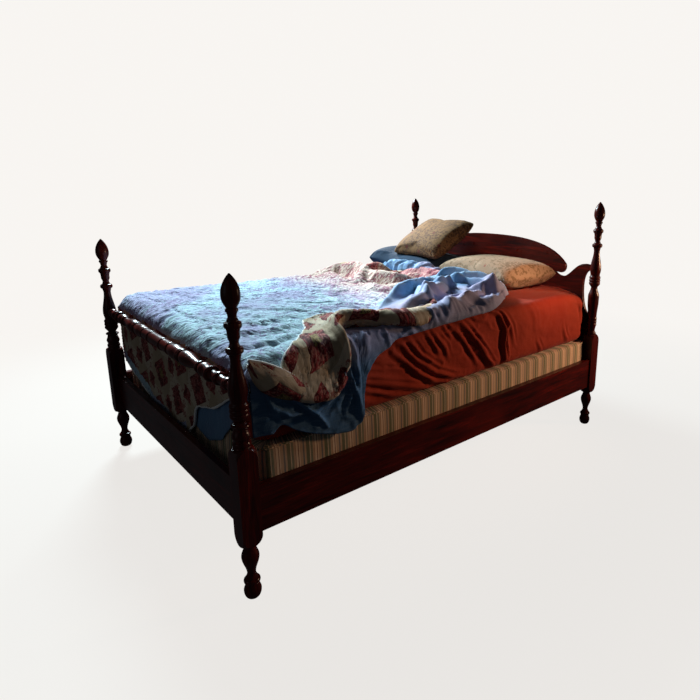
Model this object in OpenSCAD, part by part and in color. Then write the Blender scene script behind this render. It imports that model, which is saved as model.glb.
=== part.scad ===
// Low-post bed: four turned posts, a scrolled headboard, a turned blanket rail,
// rails that hook into the posts, slats, a box spring, a mattress and its bedding.
// Origin: on the floor, midway between the four posts. +X is to the right seen
// from the foot, +Y points to the headboard, +Z is up. Millimetres.

/* [Bedstead] */
// Distance between the axes of the left and right posts
post_dx = 1420; // [1380:1:1480]
// Distance between the axes of the foot and head posts
post_dy = 1962; // [1950:1:2060]
// Height of the foot posts with their finials
foot_post_h = 1039; // [1020:1:1100]
// Height of the head posts with their finials
head_post_h = 1214; // [1195:1:1300]
// Side of the square block of each post
block_w = 64; // [60:1:72]
// Height of the top of the square blocks
block_top = 516; // [500:1:525]
// Height of the bottom of the square blocks
block_bottom = 188; // [184:1:196]

/* [Turning] */
// Height of a finial above its seat on the post
finial_h = 98; // [90:1:104]
// Largest radius of the finial
finial_r = 27.3; // [24:0.1:29]
// Largest radius of the rings and swellings of the posts
turning_r = 28.5; // [26:0.1:30]
// Radius of the narrowest neck of the posts
neck_r = 12.5; // [11.5:0.1:14]
// Largest radius of the vase and the ball of each leg
leg_r = 27.5; // [25:0.1:30]
// Radius of the flat under each ball foot
foot_flat_r = 12; // [10:0.5:14]
// Radius of the dowel under each finial
dowel_r = 7; // [6:0.1:8]
// Length of the dowel under each finial
dowel_l = 26; // [20:1:30]

/* [Rails] */
// Height of the rails' lower edge above the floor
rail_z = 229; // [225:1:260]
// Height of the side, foot and head rail boards
rail_h = 152; // [140:1:160]
// Thickness of the side rails
side_rail_t = 27; // [22:1:30]
// Distance from the post axis out to the outer face of a side rail
side_rail_out = 24; // [20:1:26]
// Thickness of the foot rail and the head rail
end_rail_t = 22; // [18:1:26]
// Distance from the post axis out to the outer face of the foot and head rails
end_rail_out = 6; // [4:1:14]
// Thickness of the tenons on the end rails
tenon_t = 12; // [8:1:16]
// Length of the tenons on the end rails
tenon_l = 26; // [20:1:30]
// How far a tenon is set in from the upper and lower edges of its rail
tenon_shoulder = 14; // [10:1:24]
// Clearance around tenons, dowels, pins and plates in their seats
seat_gap = 0.2; // [0.1:0.05:0.4]

/* [Blanket rail] */
// Height of the axis of the blanket rail
blanket_z = 697; // [690:1:705]
// Largest radius of the blanket rail
blanket_r = 27; // [24:0.5:28.5]
// Radius of the round tenons of the blanket rail
blanket_tenon_r = 9; // [7:0.5:11]
// Length of the round tenons of the blanket rail
blanket_tenon_l = 16; // [12:1:18]

/* [Headboard] */
// Thickness of the headboard
headboard_t = 19; // [16:1:24]
// Height of the middle of the crest
crest_z = 1011; // [990:1:1040]
// Height of the headboard's lower edge
headboard_z = 430; // [410:1:440]
// How far the headboard's ends enter the posts, measured from the post axis
headboard_end_in = 18; // [16:1:20]
// Gap between the headboard and the walls of the slots in the posts
slot_gap = 0.4; // [0.2:0.1:0.8]

/* [Slats] */
// Thickness of the slats
slat_t = 19; // [16:1:22]
// Width of a slat
slat_w = 76; // [60:1:95]
// Height of the ledger strips' lower edge above the rails' lower edge
ledger_up = 6; // [4:1:8]
// Height of the ledger strips
ledger_h = 26; // [22:1:28]
// Thickness of the ledger strips
ledger_t = 30; // [24:1:34]
// Number of screws in each ledger strip
ledger_screws_n = 6; // [3:1:8]
// Gap between the end of a slat and the side rail
slat_end_gap = 4; // [2:1:8]

/* [Rail hooks] */
// Thickness of the hook plates and of their hooks
hook_t = 3; // [2:0.5:4]
// Width of a hook plate
hook_plate_w = 16; // [14:1:18]
// Height of a hook plate
hook_plate_h = 120; // [110:1:126]
// How far the hooks reach into the post
hook_reach = 17; // [14:1:20]
// Radius of the pins that the hooks catch
hook_pin_r = 3; // [2.5:0.1:3.5]
// Distance between the two pins of one post
hook_pin_pitch = 64; // [56:1:68]

/* [Box spring] */
// Width of the box spring between its piped edges
spring_w = 1396; // [1340:1:1400]
// How much shorter the box spring is than the mattress
spring_short = 20; // [18:1:40]
// Gap between the box spring's head end and the faces of the head posts' blocks
spring_head_gap = 2; // [1:0.5:4]
// Height of the box spring
spring_h = 200; // [185:1:210]
// Radius of the box spring's upright corners
spring_corner_r = 38; // [34:1:60]
// Thickness of the ticking
ticking_t = 2; // [1.5:0.5:3]
// Radius of the piping round the box spring
piping_r = 3; // [2:0.5:4]

/* [Mattress] */
// Width of the mattress
mattress_w = 1372; // [1340:1:1376]
// How much shorter the mattress is than the distance between the post axes
bed_play = 72; // [70:1:102]
// Height of the mattress at its edge
mattress_h = 270; // [220:1:290]
// Radius of the mattress's upright corners
mattress_corner_r = 75; // [70:1:90]
// Radius of the mattress's upper and lower edges
mattress_edge_r = 45; // [35:1:60]
// How far the crown rises in the middle of the mattress
mattress_crown = 12; // [6:1:20]
// How far the mattress border is drawn in half way up
border_pull = 5; // [0:1:8]
// Gap between the mattress and the headboard
head_gap = 7; // [6:1:10]
// Thickness of the fitted sheet
sheet_t = 1.6; // [1.2:0.2:2.4]
// Width of the fitted sheet's hem under the mattress
sheet_hem = 110; // [80:5:160]

/* [Bedding] */
// Thickness of the flat sheet
flat_sheet_t = 3; // [2:0.5:4]
// Thickness of the quilt
quilt_t = 9; // [6:0.5:12]
// Air between two layers of bedding
layer_gap = 3; // [2.5:0.1:4]
// How far the quilt hangs down the far side
quilt_far_drop = 205; // [120:5:215]
// How far the quilt hangs down the near side, where it is longest
quilt_drop = 122; // [100:2:130]
// How far the flat sheet hangs down the near side, where it is longest
sheet_drop = 248; // [220:2:256]
// Height of the lumps at the quilt's head end
quilt_lump = 68; // [40:1:75]
// How much further toward the pillows the quilt's head end lies in the middle than at its sides
quilt_reach = 150; // [100:5:160]
// Height of the crumples of the flat sheet
crumple_h = 42; // [25:1:60]

/* [Pillows] */
// Width of the cream pillow between its corners
pillow_w = 580; // [540:2:584]
// Depth of the cream pillow between its corners
pillow_d = 440; // [400:5:445]
// Thickness of the cream pillow in the middle
pillow_t = 134; // [100:2:140]
// Thickness of the blue pillow in the middle
under_pillow_t = 110; // [80:2:120]
// Thickness of the khaki pillow in the middle
propped_pillow_t = 100; // [80:2:110]
// Width of the khaki pillow between its corners
propped_pillow_w = 440; // [400:5:450]
// Slope of the khaki pillow
propped_tilt = 30; // [25:1:32]

/* [Hidden] */

$fn = 64;
LEFT = -1;
RIGHT = 1;
FOOT = -1;
HEAD = 1;
eps = 0.01;

post_x = post_dx / 2;
post_y = post_dy / 2;
block_half = block_w / 2;
side_rail_in = post_x + side_rail_out - side_rail_t;
ledger_top = rail_z + ledger_up + ledger_h;
slat_top = ledger_top + slat_t;

bed_l = post_dy - bed_play;
spring_l = bed_l - spring_short;
spring_y = post_y - block_half - spring_head_gap - spring_l / 2;
spring_z = slat_top;
spring_top = spring_z + spring_h;
bed_y = post_y - headboard_t / 2 - head_gap - bed_l / 2;
mattress_z = spring_top + sheet_t + eps;
mattress_half = mattress_w / 2;
bed_half = bed_l / 2;

wood = [0.23, 0.07, 0.05];
timber = [0.72, 0.58, 0.40];
steel = [0.55, 0.55, 0.56];

// ---------- outlines ----------

// A quarter wave from a to b, without its first point.
function ease(a, b, n) =
    [for (i = [1 : n]) let (t = (1 - cos(180 * i / n)) / 2)
        a + [t, i / n] * [[b[0] - a[0], 0], [0, b[1] - a[1]]]];

// A ring of half-round section between two heights.
function ring(z0, z1, r0, r1, n = 6) =
    [for (i = [0 : n]) [r0 + (r1 - r0) * sin(180 * i / n), z0 + (z1 - z0) * (1 - cos(180 * i / n)) / 2]];

// A quarter of an ellipse: it leaves a level, or steep when steep is true.
function quarter(a, b, n, steep = false) =
    [for (i = [0 : n]) let (s = sin(90 * i / n), c = 1 - cos(90 * i / n))
        steep ? [a[0] + (b[0] - a[0]) * c, a[1] + (b[1] - a[1]) * s]
              : [a[0] + (b[0] - a[0]) * s, a[1] + (b[1] - a[1]) * c]];

// A cubic curve, without its first point.
function curve(a, b, c, d, n) =
    [for (i = [1 : n]) let (t = i / n, u = 1 - t)
        u * u * u * a + 3 * u * u * t * b + 3 * u * t * t * c + t * t * t * d];

// Outlines below are written downward from the tip and turned over here.
function below(top, outline) = [for (p = outline) [p[0], top - p[1]]];

// ---------- posts ----------

// The parts of the post outline, as distances below the tip.
seat_r = 15;
ring1_d = 138;
ring2_d = 212;
swell_d = 348;
triple_d = 384;
triple_end = 429;
triple_step = (triple_end - triple_d) / 3;
waist_d = 443;
waist_r = 16.5;

function triple_rings(d0, step, r0, r1) =
    [for (i = [0 : 2]) each ring(d0 + i * step, d0 + (i + 1) * step - 1, r0, r1, 6)];

upper_outline = concat(
    [[0, finial_h], [seat_r, finial_h]],
    ring(finial_h + 1, finial_h + 12, seat_r, seat_r + 3.5),
    ease([seat_r, finial_h + 12], [neck_r, finial_h + 25], 3),
    ease([neck_r, finial_h + 25], [17, ring1_d - 2], 3),
    ring(ring1_d, ring1_d + 20, 20, turning_r - 3),
    ease([20, ring1_d + 20], [18, ring1_d + 32], 3),
    ease([18.3, ring1_d + 42], [neck_r + 0.5, ring1_d + 62], 5),
    ease([neck_r + 0.5, ring1_d + 62], [16, ring2_d - 2], 3),
    ring(ring2_d, ring2_d + 21, 18, turning_r - 2.5),
    ease([18, ring2_d + 22], [15, ring2_d + 38], 4),
    ease([15, ring2_d + 38], [turning_r - 0.5, swell_d], 10),
    ease([turning_r - 0.5, swell_d], [23.5, triple_d - 4], 5),
    triple_rings(triple_d, triple_step, 25.5, turning_r),
    ease([24, triple_end], [waist_r, waist_d], 4));

head_rings_d = 604;
head_rings_step = 16;
head_lower_d = head_post_h - block_top;
head_outline = concat(
    ease([waist_r, waist_d], [turning_r, waist_d + 48], 7),
    ease([turning_r, waist_d + 70], [23, head_rings_d - 6], 5),
    triple_rings(head_rings_d, head_rings_step, 22.5, 25.5),
    ease([22, head_rings_d + 50], [19, head_rings_d + 72], 4),
    ease([19, head_rings_d + 72], [26, head_lower_d - 6], 4),
    [[26, head_lower_d + 2], [0, head_lower_d + 2]]);

foot_lower_d = foot_post_h - block_top;
foot_outline = concat(
    ring(waist_d + 4, waist_d + 15, 20, turning_r - 0.5),
    [[21, waist_d + 17]],
    ease([21, waist_d + 17], [turning_r - 0.5, waist_d + 44], 5),
    ease([turning_r - 0.5, waist_d + 44], [24, foot_lower_d - 24], 3),
    ring(foot_lower_d - 20, foot_lower_d - 4, 24, turning_r - 1),
    [[26, foot_lower_d + 2], [0, foot_lower_d + 2]]);

ankle_z = 88;
ankle_r = 13.5;
vase_z = 148;
leg_neck_r = 18;
leg_outline = concat(
    [[0, 0]],
    quarter([foot_flat_r, 0], [leg_r, 28], 7),
    ease([leg_r, 28], [21.5, 52], 5),
    ring(54, 70, 20, leg_r - 1.5),
    ease([19, 71], [ankle_r, ankle_z], 5),
    ease([ankle_r, ankle_z], [leg_r, vase_z], 9),
    ease([leg_r, vase_z], [leg_neck_r, block_bottom - 3], 6),
    [[leg_neck_r, block_bottom + 2], [0, block_bottom + 2]]);

shoulder_h = 48;
block_corner_r = block_half * sqrt(2) + 1;
block_outline = concat(
    [[0, block_bottom]],
    quarter([leg_neck_r + 2, block_bottom], [block_corner_r, block_bottom + shoulder_h], 7),
    quarter([block_corner_r, block_top - shoulder_h], [26, block_top], 7, true),
    [[0, block_top]]);

module block() {
    intersection() {
        translate([-block_half, -block_half, block_bottom])
            cube([block_w, block_w, block_top - block_bottom]);
        rotate_extrude() polygon(block_outline);
    }
}

// Slot for the hooks of a side rail, in the block's face toward the rail, and the pins' bores.
hook_mid_z = rail_z + rail_h / 2;
side_rail_mid = side_rail_out - side_rail_t / 2;
hook_slot_depth = hook_reach + 2;
pin_back = hook_reach / 2 + 1;
pin_l = 50;
hook_slot_h = hook_plate_h - 8;

module hook_cuts(end) {
    translate([side_rail_mid - hook_t / 2 - seat_gap, end > 0 ? -block_half - eps
        : block_half - hook_slot_depth + eps,
        hook_mid_z - hook_slot_h / 2])
        cube([hook_t + 2 * seat_gap, hook_slot_depth, hook_slot_h]);
    for (k = [-1, 1])
        translate([-block_half - eps, -end * (block_half - pin_back), hook_mid_z + k * hook_pin_pitch / 2])
            rotate([0, 90, 0]) cylinder(r = hook_pin_r + seat_gap / 4, h = pin_l + eps);
}

module headboard_slot(z0, z1) {
    translate([-block_w, -headboard_t / 2 - slot_gap, z0 - slot_gap])
        cube([block_w - headboard_end_in + slot_gap, headboard_t + 2 * slot_gap, z1 - z0 + 2 * slot_gap]);
}

// A post about its own axis, for the right side; end is FOOT or HEAD.
module turned_post(end) {
    post_h = end == HEAD ? head_post_h : foot_post_h;
    lower = end == HEAD ? head_outline : foot_outline;
    rail_mid = end * (end_rail_out - end_rail_t / 2);
    difference() {
        union() {
            rotate_extrude() polygon(below(post_h, concat(upper_outline, lower)));
            block();
            rotate_extrude() polygon(leg_outline);
        }
        translate([0, 0, post_h - finial_h - dowel_l - 1])
            cylinder(r = dowel_r + seat_gap, h = dowel_l + 2);
        translate([-block_half - eps, rail_mid - tenon_t / 2 - seat_gap,
            rail_z + tenon_shoulder - seat_gap])
            cube([tenon_l + seat_gap, tenon_t + 2 * seat_gap, rail_h - 2 * tenon_shoulder + 2 * seat_gap]);
        hook_cuts(end);
        if (end == HEAD) {
            headboard_slot(headboard_z, low_tenon_top);
            headboard_slot(ear_tenon_bottom, ear_tenon_top);
        }
        if (end == FOOT)
            translate([-blanket_shoulder, 0, blanket_z]) rotate([0, 90, 0]) {
                translate([0, 0, -block_half]) cylinder(r = blanket_end_r + seat_gap,
                    h = block_half + seat_gap);
                cylinder(r = blanket_tenon_r + seat_gap, h = blanket_tenon_l + 0.5);
            }
    }
}

module post(side, end) {
    color(wood) translate([side * post_x, end * post_y, 0]) mirror([side == LEFT ? 1 : 0, 0, 0])
        turned_post(end);
}

// Outline of a finial above its seat: a pointed bud.
finial_outline = concat(
    [[0, 0], [1.5, 0]],
    curve([1.5, 0], [finial_r * 0.4, finial_h * 0.1], [finial_r, finial_h * 0.33],
        [finial_r, finial_h * 0.62], 10),
    curve([finial_r, finial_h * 0.62], [finial_r, finial_h * 0.82], [20, finial_h * 0.9],
        [seat_r, finial_h], 7),
    [[0, finial_h]]);

module finial(side, end) {
    post_h = end == HEAD ? head_post_h : foot_post_h;
    color(wood) translate([side * post_x, end * post_y, 0]) {
        rotate_extrude() polygon(below(post_h, finial_outline));
        translate([0, 0, post_h - finial_h - dowel_l]) cylinder(r = dowel_r, h = dowel_l + 1);
    }
}

// ---------- headboard ----------

// Right half of the outline, from the middle of the crest to the middle of the lower edge.
hump_z = 890;
crest_nose = [530, crest_z - 134];
crest_curl = [500, crest_z - 182];
crest_cusp = [462, crest_z - 169];
cove_low = [526, hump_z - 79];
headboard_end = post_x - headboard_end_in;
headboard_shoulder = post_x - turning_r - 0.5;
ear_tenon_top = hump_z - 10;
ear_tenon_bottom = hump_z - 30;
low_tenon_top = hump_z - 272;
notch_in = 646;
headboard_half = concat(
    [[0, crest_z]],
    curve([0, crest_z], [200, crest_z], [430, crest_z - 14], crest_nose, 14),
    curve(crest_nose, crest_nose + [10, -22], crest_curl + [22, -6], crest_curl, 6),
    curve(crest_curl, crest_curl + [-16, 2], crest_cusp + [2, -8], crest_cusp, 4),
    curve(crest_cusp, crest_cusp + [10, -26], cove_low + [-22, -4], cove_low, 6),
    curve(cove_low, cove_low + [40, 8], [600, hump_z], [650, hump_z], 8),
    curve([650, hump_z], [666, hump_z], [676, hump_z - 2], [headboard_shoulder, hump_z - 4], 4),
    [[headboard_shoulder, ear_tenon_top], [headboard_end, ear_tenon_top], [headboard_end, ear_tenon_bottom],
        [headboard_shoulder, ear_tenon_bottom], [headboard_shoulder, hump_z - 33]],
    curve([headboard_shoulder, hump_z - 33], [664, hump_z - 34], [notch_in, hump_z - 62],
        [notch_in, hump_z - 115], 7),
    curve([notch_in, hump_z - 115], [notch_in, hump_z - 200], [664, hump_z - 244],
        [headboard_shoulder, hump_z - 266], 7),
    [[headboard_shoulder, low_tenon_top], [headboard_end, low_tenon_top], [headboard_end, headboard_z]]);

module headboard() {
    n = len(headboard_half);
    color(wood) translate([0, post_y + headboard_t / 2, 0]) rotate([90, 0, 0]) linear_extrude(headboard_t)
        polygon(concat(headboard_half, [for (i = [1 : n - 1])
            [-headboard_half[n - i][0], headboard_half[n - i][1]]]));
}

// ---------- rails ----------

end_rail_half = post_x - block_half;

module end_rail(end) {
    rail_mid = end * (post_y + end_rail_out - end_rail_t / 2);
    color(wood) {
        translate([-end_rail_half, rail_mid - end_rail_t / 2, rail_z])
            cube([2 * end_rail_half, end_rail_t, rail_h]);
        translate([-end_rail_half - tenon_l + seat_gap, rail_mid - tenon_t / 2, rail_z + tenon_shoulder])
            cube([2 * (end_rail_half + tenon_l - seat_gap), tenon_t, rail_h - 2 * tenon_shoulder]);
    }
}

side_rail_half = post_y - block_half;

module side_rail(side) {
    color(wood) difference() {
        translate([side > 0 ? side_rail_in : -side_rail_in - side_rail_t, -side_rail_half, rail_z])
            cube([side_rail_t, 2 * side_rail_half, rail_h]);
        for (end = [FOOT, HEAD])
            translate([side * (post_x + side_rail_mid) - hook_plate_w / 2 - seat_gap,
                end > 0 ? side_rail_half - hook_t : -side_rail_half - eps,
                    hook_mid_z - hook_plate_h / 2 - seat_gap])
                cube([hook_plate_w + 2 * seat_gap, hook_t + eps, hook_plate_h + 2 * seat_gap]);
        for (y = screw_ys) translate([side * (side_rail_in - ledger_t), y, screw_z])
            rotate([0, side * 90, 0])
            cylinder(r = screw_r + seat_gap / 4, h = screw_l + 0.5);
    }
}

// Half outline of the blanket rail as [radius, distance from the middle].
blanket_shoulder = 24;
blanket_end_r = 14.5;
blanket_half_l = post_x - blanket_shoulder;
blanket_outline = concat(
    [[0, 0], [22.5, 0], [22.5, 60]],
    ring(62, 74, 22, 25.5),
    [[22.5, 76], [22.5, 138]],
    ring(142, 152, 21, 24.5),
    ease([22, 154], [blanket_r - 0.5, 200], 6),
    ease([blanket_r - 0.5, 200], [22.5, 246], 6),
    ring(249, 261, 22, blanket_r - 1),
    ring(263, 275, 22, blanket_r - 1),
    ease([22, 277], [blanket_r, 306], 5),
    ease([blanket_r, 306], [15.5, 412], 12),
    ring(424, 438, 17, 22),
    ease([18, 440], [24, 466], 5),
    ease([24, 466], [19, 494], 5),
    ring(510, 528, 18, blanket_r),
    ease([17, 530], [14.5, 548], 3),
    ring(566, 590, 16, 22.5),
    ease([15, 594], [14, 618], 3),
    ring(630, 654, 15.5, 20),
    [[blanket_end_r, 656], [blanket_end_r, blanket_half_l], [0, blanket_half_l]]);

module blanket_rail() {
    color(wood) translate([0, FOOT * post_y, blanket_z]) {
        for (side = [LEFT, RIGHT]) rotate([0, side * 90, 0]) {
            rotate_extrude() polygon(blanket_outline);
            cylinder(r = blanket_tenon_r, h = blanket_half_l + blanket_tenon_l);
        }
    }
}

// ---------- rail hooks ----------

hook_tab_h = 22;
hook_nose = 7;

// One hook seen from the side: it drops over its pin. The pin's centre is the origin.
module hook_profile() {
    difference() {
        translate([-pin_back, -hook_nose]) square([hook_reach, hook_tab_h]);
        translate([-hook_pin_r - seat_gap, -hook_nose - eps])
            square([2 * (hook_pin_r + seat_gap), hook_nose + eps]);
        circle(r = hook_pin_r + seat_gap);
    }
}

module hook_plates() {
    color(steel) for (side = [LEFT, RIGHT], end = [FOOT, HEAD]) {
        x = side * (post_x + side_rail_mid);
        translate([x - hook_plate_w / 2, end * side_rail_half - (end > 0 ? hook_t : 0),
            hook_mid_z - hook_plate_h / 2])
            cube([hook_plate_w, hook_t, hook_plate_h]);
        for (k = [-1, 1])
            translate([x + hook_t / 2, end * (side_rail_half + pin_back),
                hook_mid_z + k * hook_pin_pitch / 2])
                mirror([0, end > 0 ? 0 : 1, 0]) rotate([90, 0, -90]) mirror([1, 0, 0])
                    linear_extrude(hook_t) hook_profile();
    }
}

module hook_pins() {
    color(steel) for (side = [LEFT, RIGHT], end = [FOOT, HEAD], k = [-1, 1])
        translate([side * (post_x - block_half), end * (side_rail_half + pin_back),
            hook_mid_z + k * hook_pin_pitch / 2])
            rotate([0, side * 90, 0]) cylinder(r = hook_pin_r, h = pin_l - 1);
}

// ---------- ledgers, screws and slats ----------

screw_r = 2.5;
screw_l = ledger_t + 18;
screw_head_r = 5;
screw_head_h = 3;
ledger_half = side_rail_half - 60;
screw_z = rail_z + ledger_up + ledger_h / 2;
screw_ys = [for (i = [0 : ledger_screws_n - 1]) (2 * i / (ledger_screws_n - 1) - 1) * (ledger_half - 60)];

module screw_solid(grow) {
    cylinder(r = screw_r + grow, h = screw_l);
    translate([0, 0, -eps]) cylinder(r1 = screw_head_r + grow, r2 = screw_r + grow,
        h = screw_head_h + grow);
}

module ledger(side) {
    color(timber) difference() {
        translate([side > 0 ? side_rail_in - ledger_t : -side_rail_in, -ledger_half, rail_z + ledger_up])
            cube([ledger_t, 2 * ledger_half, ledger_h]);
        for (y = screw_ys) translate([side * (side_rail_in - ledger_t), y, screw_z])
            rotate([0, side * 90, 0])
            screw_solid(seat_gap / 4);
    }
}

module ledger_screws() {
    color(steel) for (side = [LEFT, RIGHT], y = screw_ys)
        translate([side * (side_rail_in - ledger_t), y, screw_z]) rotate([0, side * 90, 0]) screw_solid(0);
}

slat_n = 5;
slat_half = side_rail_in - slat_end_gap;

module slat(i) {
    y = (2 * (i - 1) / (slat_n - 1) - 1) * (ledger_half - slat_w / 2 - 20);
    color(timber) translate([-slat_half, y - slat_w / 2, ledger_top]) cube([2 * slat_half, slat_w, slat_t]);
}

// ---------- box spring ----------

spring_half = spring_w / 2;
spring_half_l = spring_l / 2;
frame_half_x = spring_half - ticking_t - 0.5;
frame_half_y = spring_half_l - ticking_t - 0.5;
board_t = 20;
deck_t = 16;
pad_t = 12;
pad_z = spring_top - ticking_t - 0.5 - pad_t;
deck_z = pad_z - deck_t;
frame_z = spring_z + ticking_t + 0.5;
deck_n = 9;

module rounded_plan(half_x, half_y, r) {
    square([2 * (half_x - r), 2 * half_y], center = true);
    square([2 * half_x, 2 * (half_y - r)], center = true);
    for (sx = [-1, 1], sy = [-1, 1]) translate([sx * (half_x - r), sy * (half_y - r)]) circle(r = r);
}

module box_spring_frame() {
    color(timber) translate([0, spring_y, frame_z]) linear_extrude(deck_z - frame_z) {
        difference() {
            rounded_plan(frame_half_x, frame_half_y, spring_corner_r - ticking_t);
            square([2 * (frame_half_x - board_t), 2 * (frame_half_y - board_t)], center = true);
        }
        for (x = [-1, 0, 1]) translate([x * frame_half_x / 2, 0])
            square([board_t, 2 * frame_half_y - board_t], center = true);
    }
}

module box_spring_deck() {
    color(timber) translate([0, spring_y, deck_z]) for (i = [0 : deck_n - 1]) {
        y = (2 * i / (deck_n - 1) - 1) * (frame_half_y - spring_corner_r - slat_w / 2);
        translate([-frame_half_x, y - slat_w / 2, 0]) cube([2 * frame_half_x, slat_w, deck_t]);
    }
}

module box_spring_pad() {
    color([0.75, 0.73, 0.68]) translate([0, spring_y, pad_z]) linear_extrude(pad_t)
        rounded_plan(frame_half_x, frame_half_y, spring_corner_r - ticking_t);
}

module box_spring_cover() {
    color([0.80, 0.70, 0.54]) translate([0, spring_y, spring_z]) difference() {
        linear_extrude(spring_h) rounded_plan(spring_half, spring_half_l, spring_corner_r);
        translate([0, 0, ticking_t]) linear_extrude(spring_h - 2 * ticking_t)
            rounded_plan(spring_half - ticking_t, spring_half_l - ticking_t, spring_corner_r - ticking_t);
        for (z = [piping_r, spring_h - piping_r]) translate([0, 0, z]) piping_loop(piping_r);
    }
}

// A cord laid round the upright faces, sunk a little way into them.
piping_out = 2;
module piping_loop(r) {
    straight_x = spring_half - spring_corner_r;
    straight_y = spring_half_l - spring_corner_r;
    for (s = [-1, 1]) {
        translate([s * (spring_half + piping_out), -straight_y, 0]) rotate([-90, 0, 0])
            cylinder(r = r, h = 2 * straight_y);
        translate([-straight_x, s * (spring_half_l + piping_out), 0]) rotate([0, 90, 0])
            cylinder(r = r, h = 2 * straight_x);
    }
    for (k = [0 : 3]) {
        sx = k == 0 || k == 3 ? 1 : -1;
        sy = k < 2 ? 1 : -1;
        translate([sx * straight_x, sy * straight_y, 0]) rotate([0, 0, 90 * k])
            rotate_extrude(angle = 90) translate([spring_corner_r + piping_out, 0]) circle(r = r, $fn = 24);
    }
}

module box_spring_piping() {
    color([0.84, 0.78, 0.66]) translate([0, spring_y, spring_z])
        for (z = [piping_r, spring_h - piping_r]) translate([0, 0, z]) piping_loop(piping_r);
}

// ---------- soft forms ----------

// One ring of a cushion: a rounded rectangle with points along its sides.
corner_steps = 4;
side_steps = 4;
function rect_ring(half_x, half_y, r, z) =
    let (cx = half_x - r, cy = half_y - r, signs = [[1, 1], [-1, 1], [-1, -1], [1, -1]])
    [for (k = [0 : 3]) each concat(
        [for (i = [0 : corner_steps]) let (a = 90 * k + 90 * i / corner_steps)
            [signs[k][0] * cx + r * cos(a), signs[k][1] * cy + r * sin(a), z]],
        [for (i = [1 : side_steps - 1]) let (t = i / side_steps, a = 90 * (k + 1), n = (k + 1) % 4)
            [(signs[k][0] * (1 - t) + signs[n][0] * t) * cx + r * cos(a),
             (signs[k][1] * (1 - t) + signs[n][1] * t) * cy + r * sin(a), z]])];

// A closed solid through rings with the same number of points, with level caps.
module ring_solid(rings) {
    n = len(rings[0]);
    m = len(rings);
    polyhedron(
        points = concat([for (ring = rings) each ring],
            [[0, 0, rings[0][0][2]], [0, 0, rings[m - 1][0][2]]]),
        faces = concat(
            [for (i = [0 : n - 1]) [i, (i + 1) % n, m * n]],
            [for (j = [0 : m - 2], i = [0 : n - 1]) let (a = j * n + i, b = j * n + (i + 1) % n) each
                [[a, a + n, b + n], [a, b + n, b]]],
            [for (i = [0 : n - 1]) [(m - 1) * n + (i + 1) % n, (m - 1) * n + i, m * n + 1]]));
}

// The mattress's surface, grown by off all round: border, edges and crown.
edge_angles = [0, 30, 60, 90];
crown_steps = [0.22, 0.5, 0.92];
function mattress_rings(off) =
    let (hx = mattress_half + off, hy = bed_half + off, re = mattress_edge_r + off,
        rc = mattress_corner_r + off,
        z0 = -off, z1 = mattress_h + off, flat = hx - re)
    concat(
        [for (a = edge_angles) let (inset = re * (1 - sin(a)))
            rect_ring(hx - inset, hy - inset, rc - inset, z0 + re * (1 - cos(a)))],
        [rect_ring(hx - border_pull, hy - border_pull, rc - border_pull, (z0 + z1) / 2)],
        [for (a = edge_angles) let (inset = re * (1 - cos(a)))
            rect_ring(hx - inset, hy - inset, rc - inset, z1 - re * (1 - sin(a)))],
        [for (q = crown_steps) let (inset = re + q * flat, rest = rc - re)
            rect_ring(hx - inset, hy - inset, max(2, rest * (1 - q)),
                z1 + mattress_crown * (1 - (1 - q) * (1 - q)))]);

module mattress_form(off) {
    translate([0, bed_y, mattress_z]) ring_solid(mattress_rings(off));
}

core_in = 40;
module mattress_core(grow = 0) {
    color([0.85, 0.83, 0.78]) translate([0, bed_y, mattress_z + core_in - grow])
        linear_extrude(mattress_h - 2 * core_in + 2 * grow)
            rounded_plan(mattress_half - core_in + grow, bed_half - core_in + grow,
                mattress_corner_r - core_in + grow);
}

vent_r = 6;
vent_x = 300;
module mattress_cover() {
    color([0.90, 0.88, 0.84]) difference() {
        mattress_form(0);
        mattress_core(0.2);
        for (side = [LEFT, RIGHT]) translate([side * vent_x, bed_y, mattress_z + mattress_h / 2])
            rotate([-90, 0, 0]) cylinder(r = vent_r, h = bed_half + 1);
    }
}

module fitted_sheet() {
    color([0.55, 0.16, 0.10]) difference() {
        mattress_form(sheet_t);
        mattress_form(0.2);
        translate([0, bed_y, mattress_z - sheet_t - 1]) linear_extrude(sheet_t + 2)
            rounded_plan(mattress_half - sheet_hem, bed_half - sheet_hem, mattress_corner_r);
    }
}

// ---------- draped cloth ----------

// Top of the sheeted mattress under a point of the plan.
skin = sheet_t;
flat_x = mattress_half - mattress_edge_r;
flat_y = bed_half - mattress_edge_r;
top_z = mattress_z + mattress_h + skin;
edge_arc = PI / 2 * (mattress_edge_r + skin);
function crown_at(x, y) =
    let (q = max(0, min(1, min(flat_x - abs(x), flat_y - abs(y - bed_y)) / flat_x)))
    mattress_crown * (1 - (1 - q) * (1 - q));

// Hanging cloth stands away from the border, more the lower it hangs.
function flare(drop) = 16 * smooth(drop / 220);
function foot_flare(drop) = 5 * smooth(drop / 140);

// A point laid over the mattress: s runs across from the middle and on down the border,
// and off is how far it stands proud.
function drape_x(s, y, off) =
    let (d = abs(s) - flat_x, re = mattress_edge_r + skin, side = s < 0 ? -1 : 1,
        a = 90 * min(1, d / edge_arc), drop = max(0, d - edge_arc))
    d <= 0 ? [s, y, top_z + crown_at(s, y) + off]
        : [side * (flat_x + (re + off) * sin(a) + flare(drop)), y, top_z - re + (re + off) * cos(a) - drop];

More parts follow.
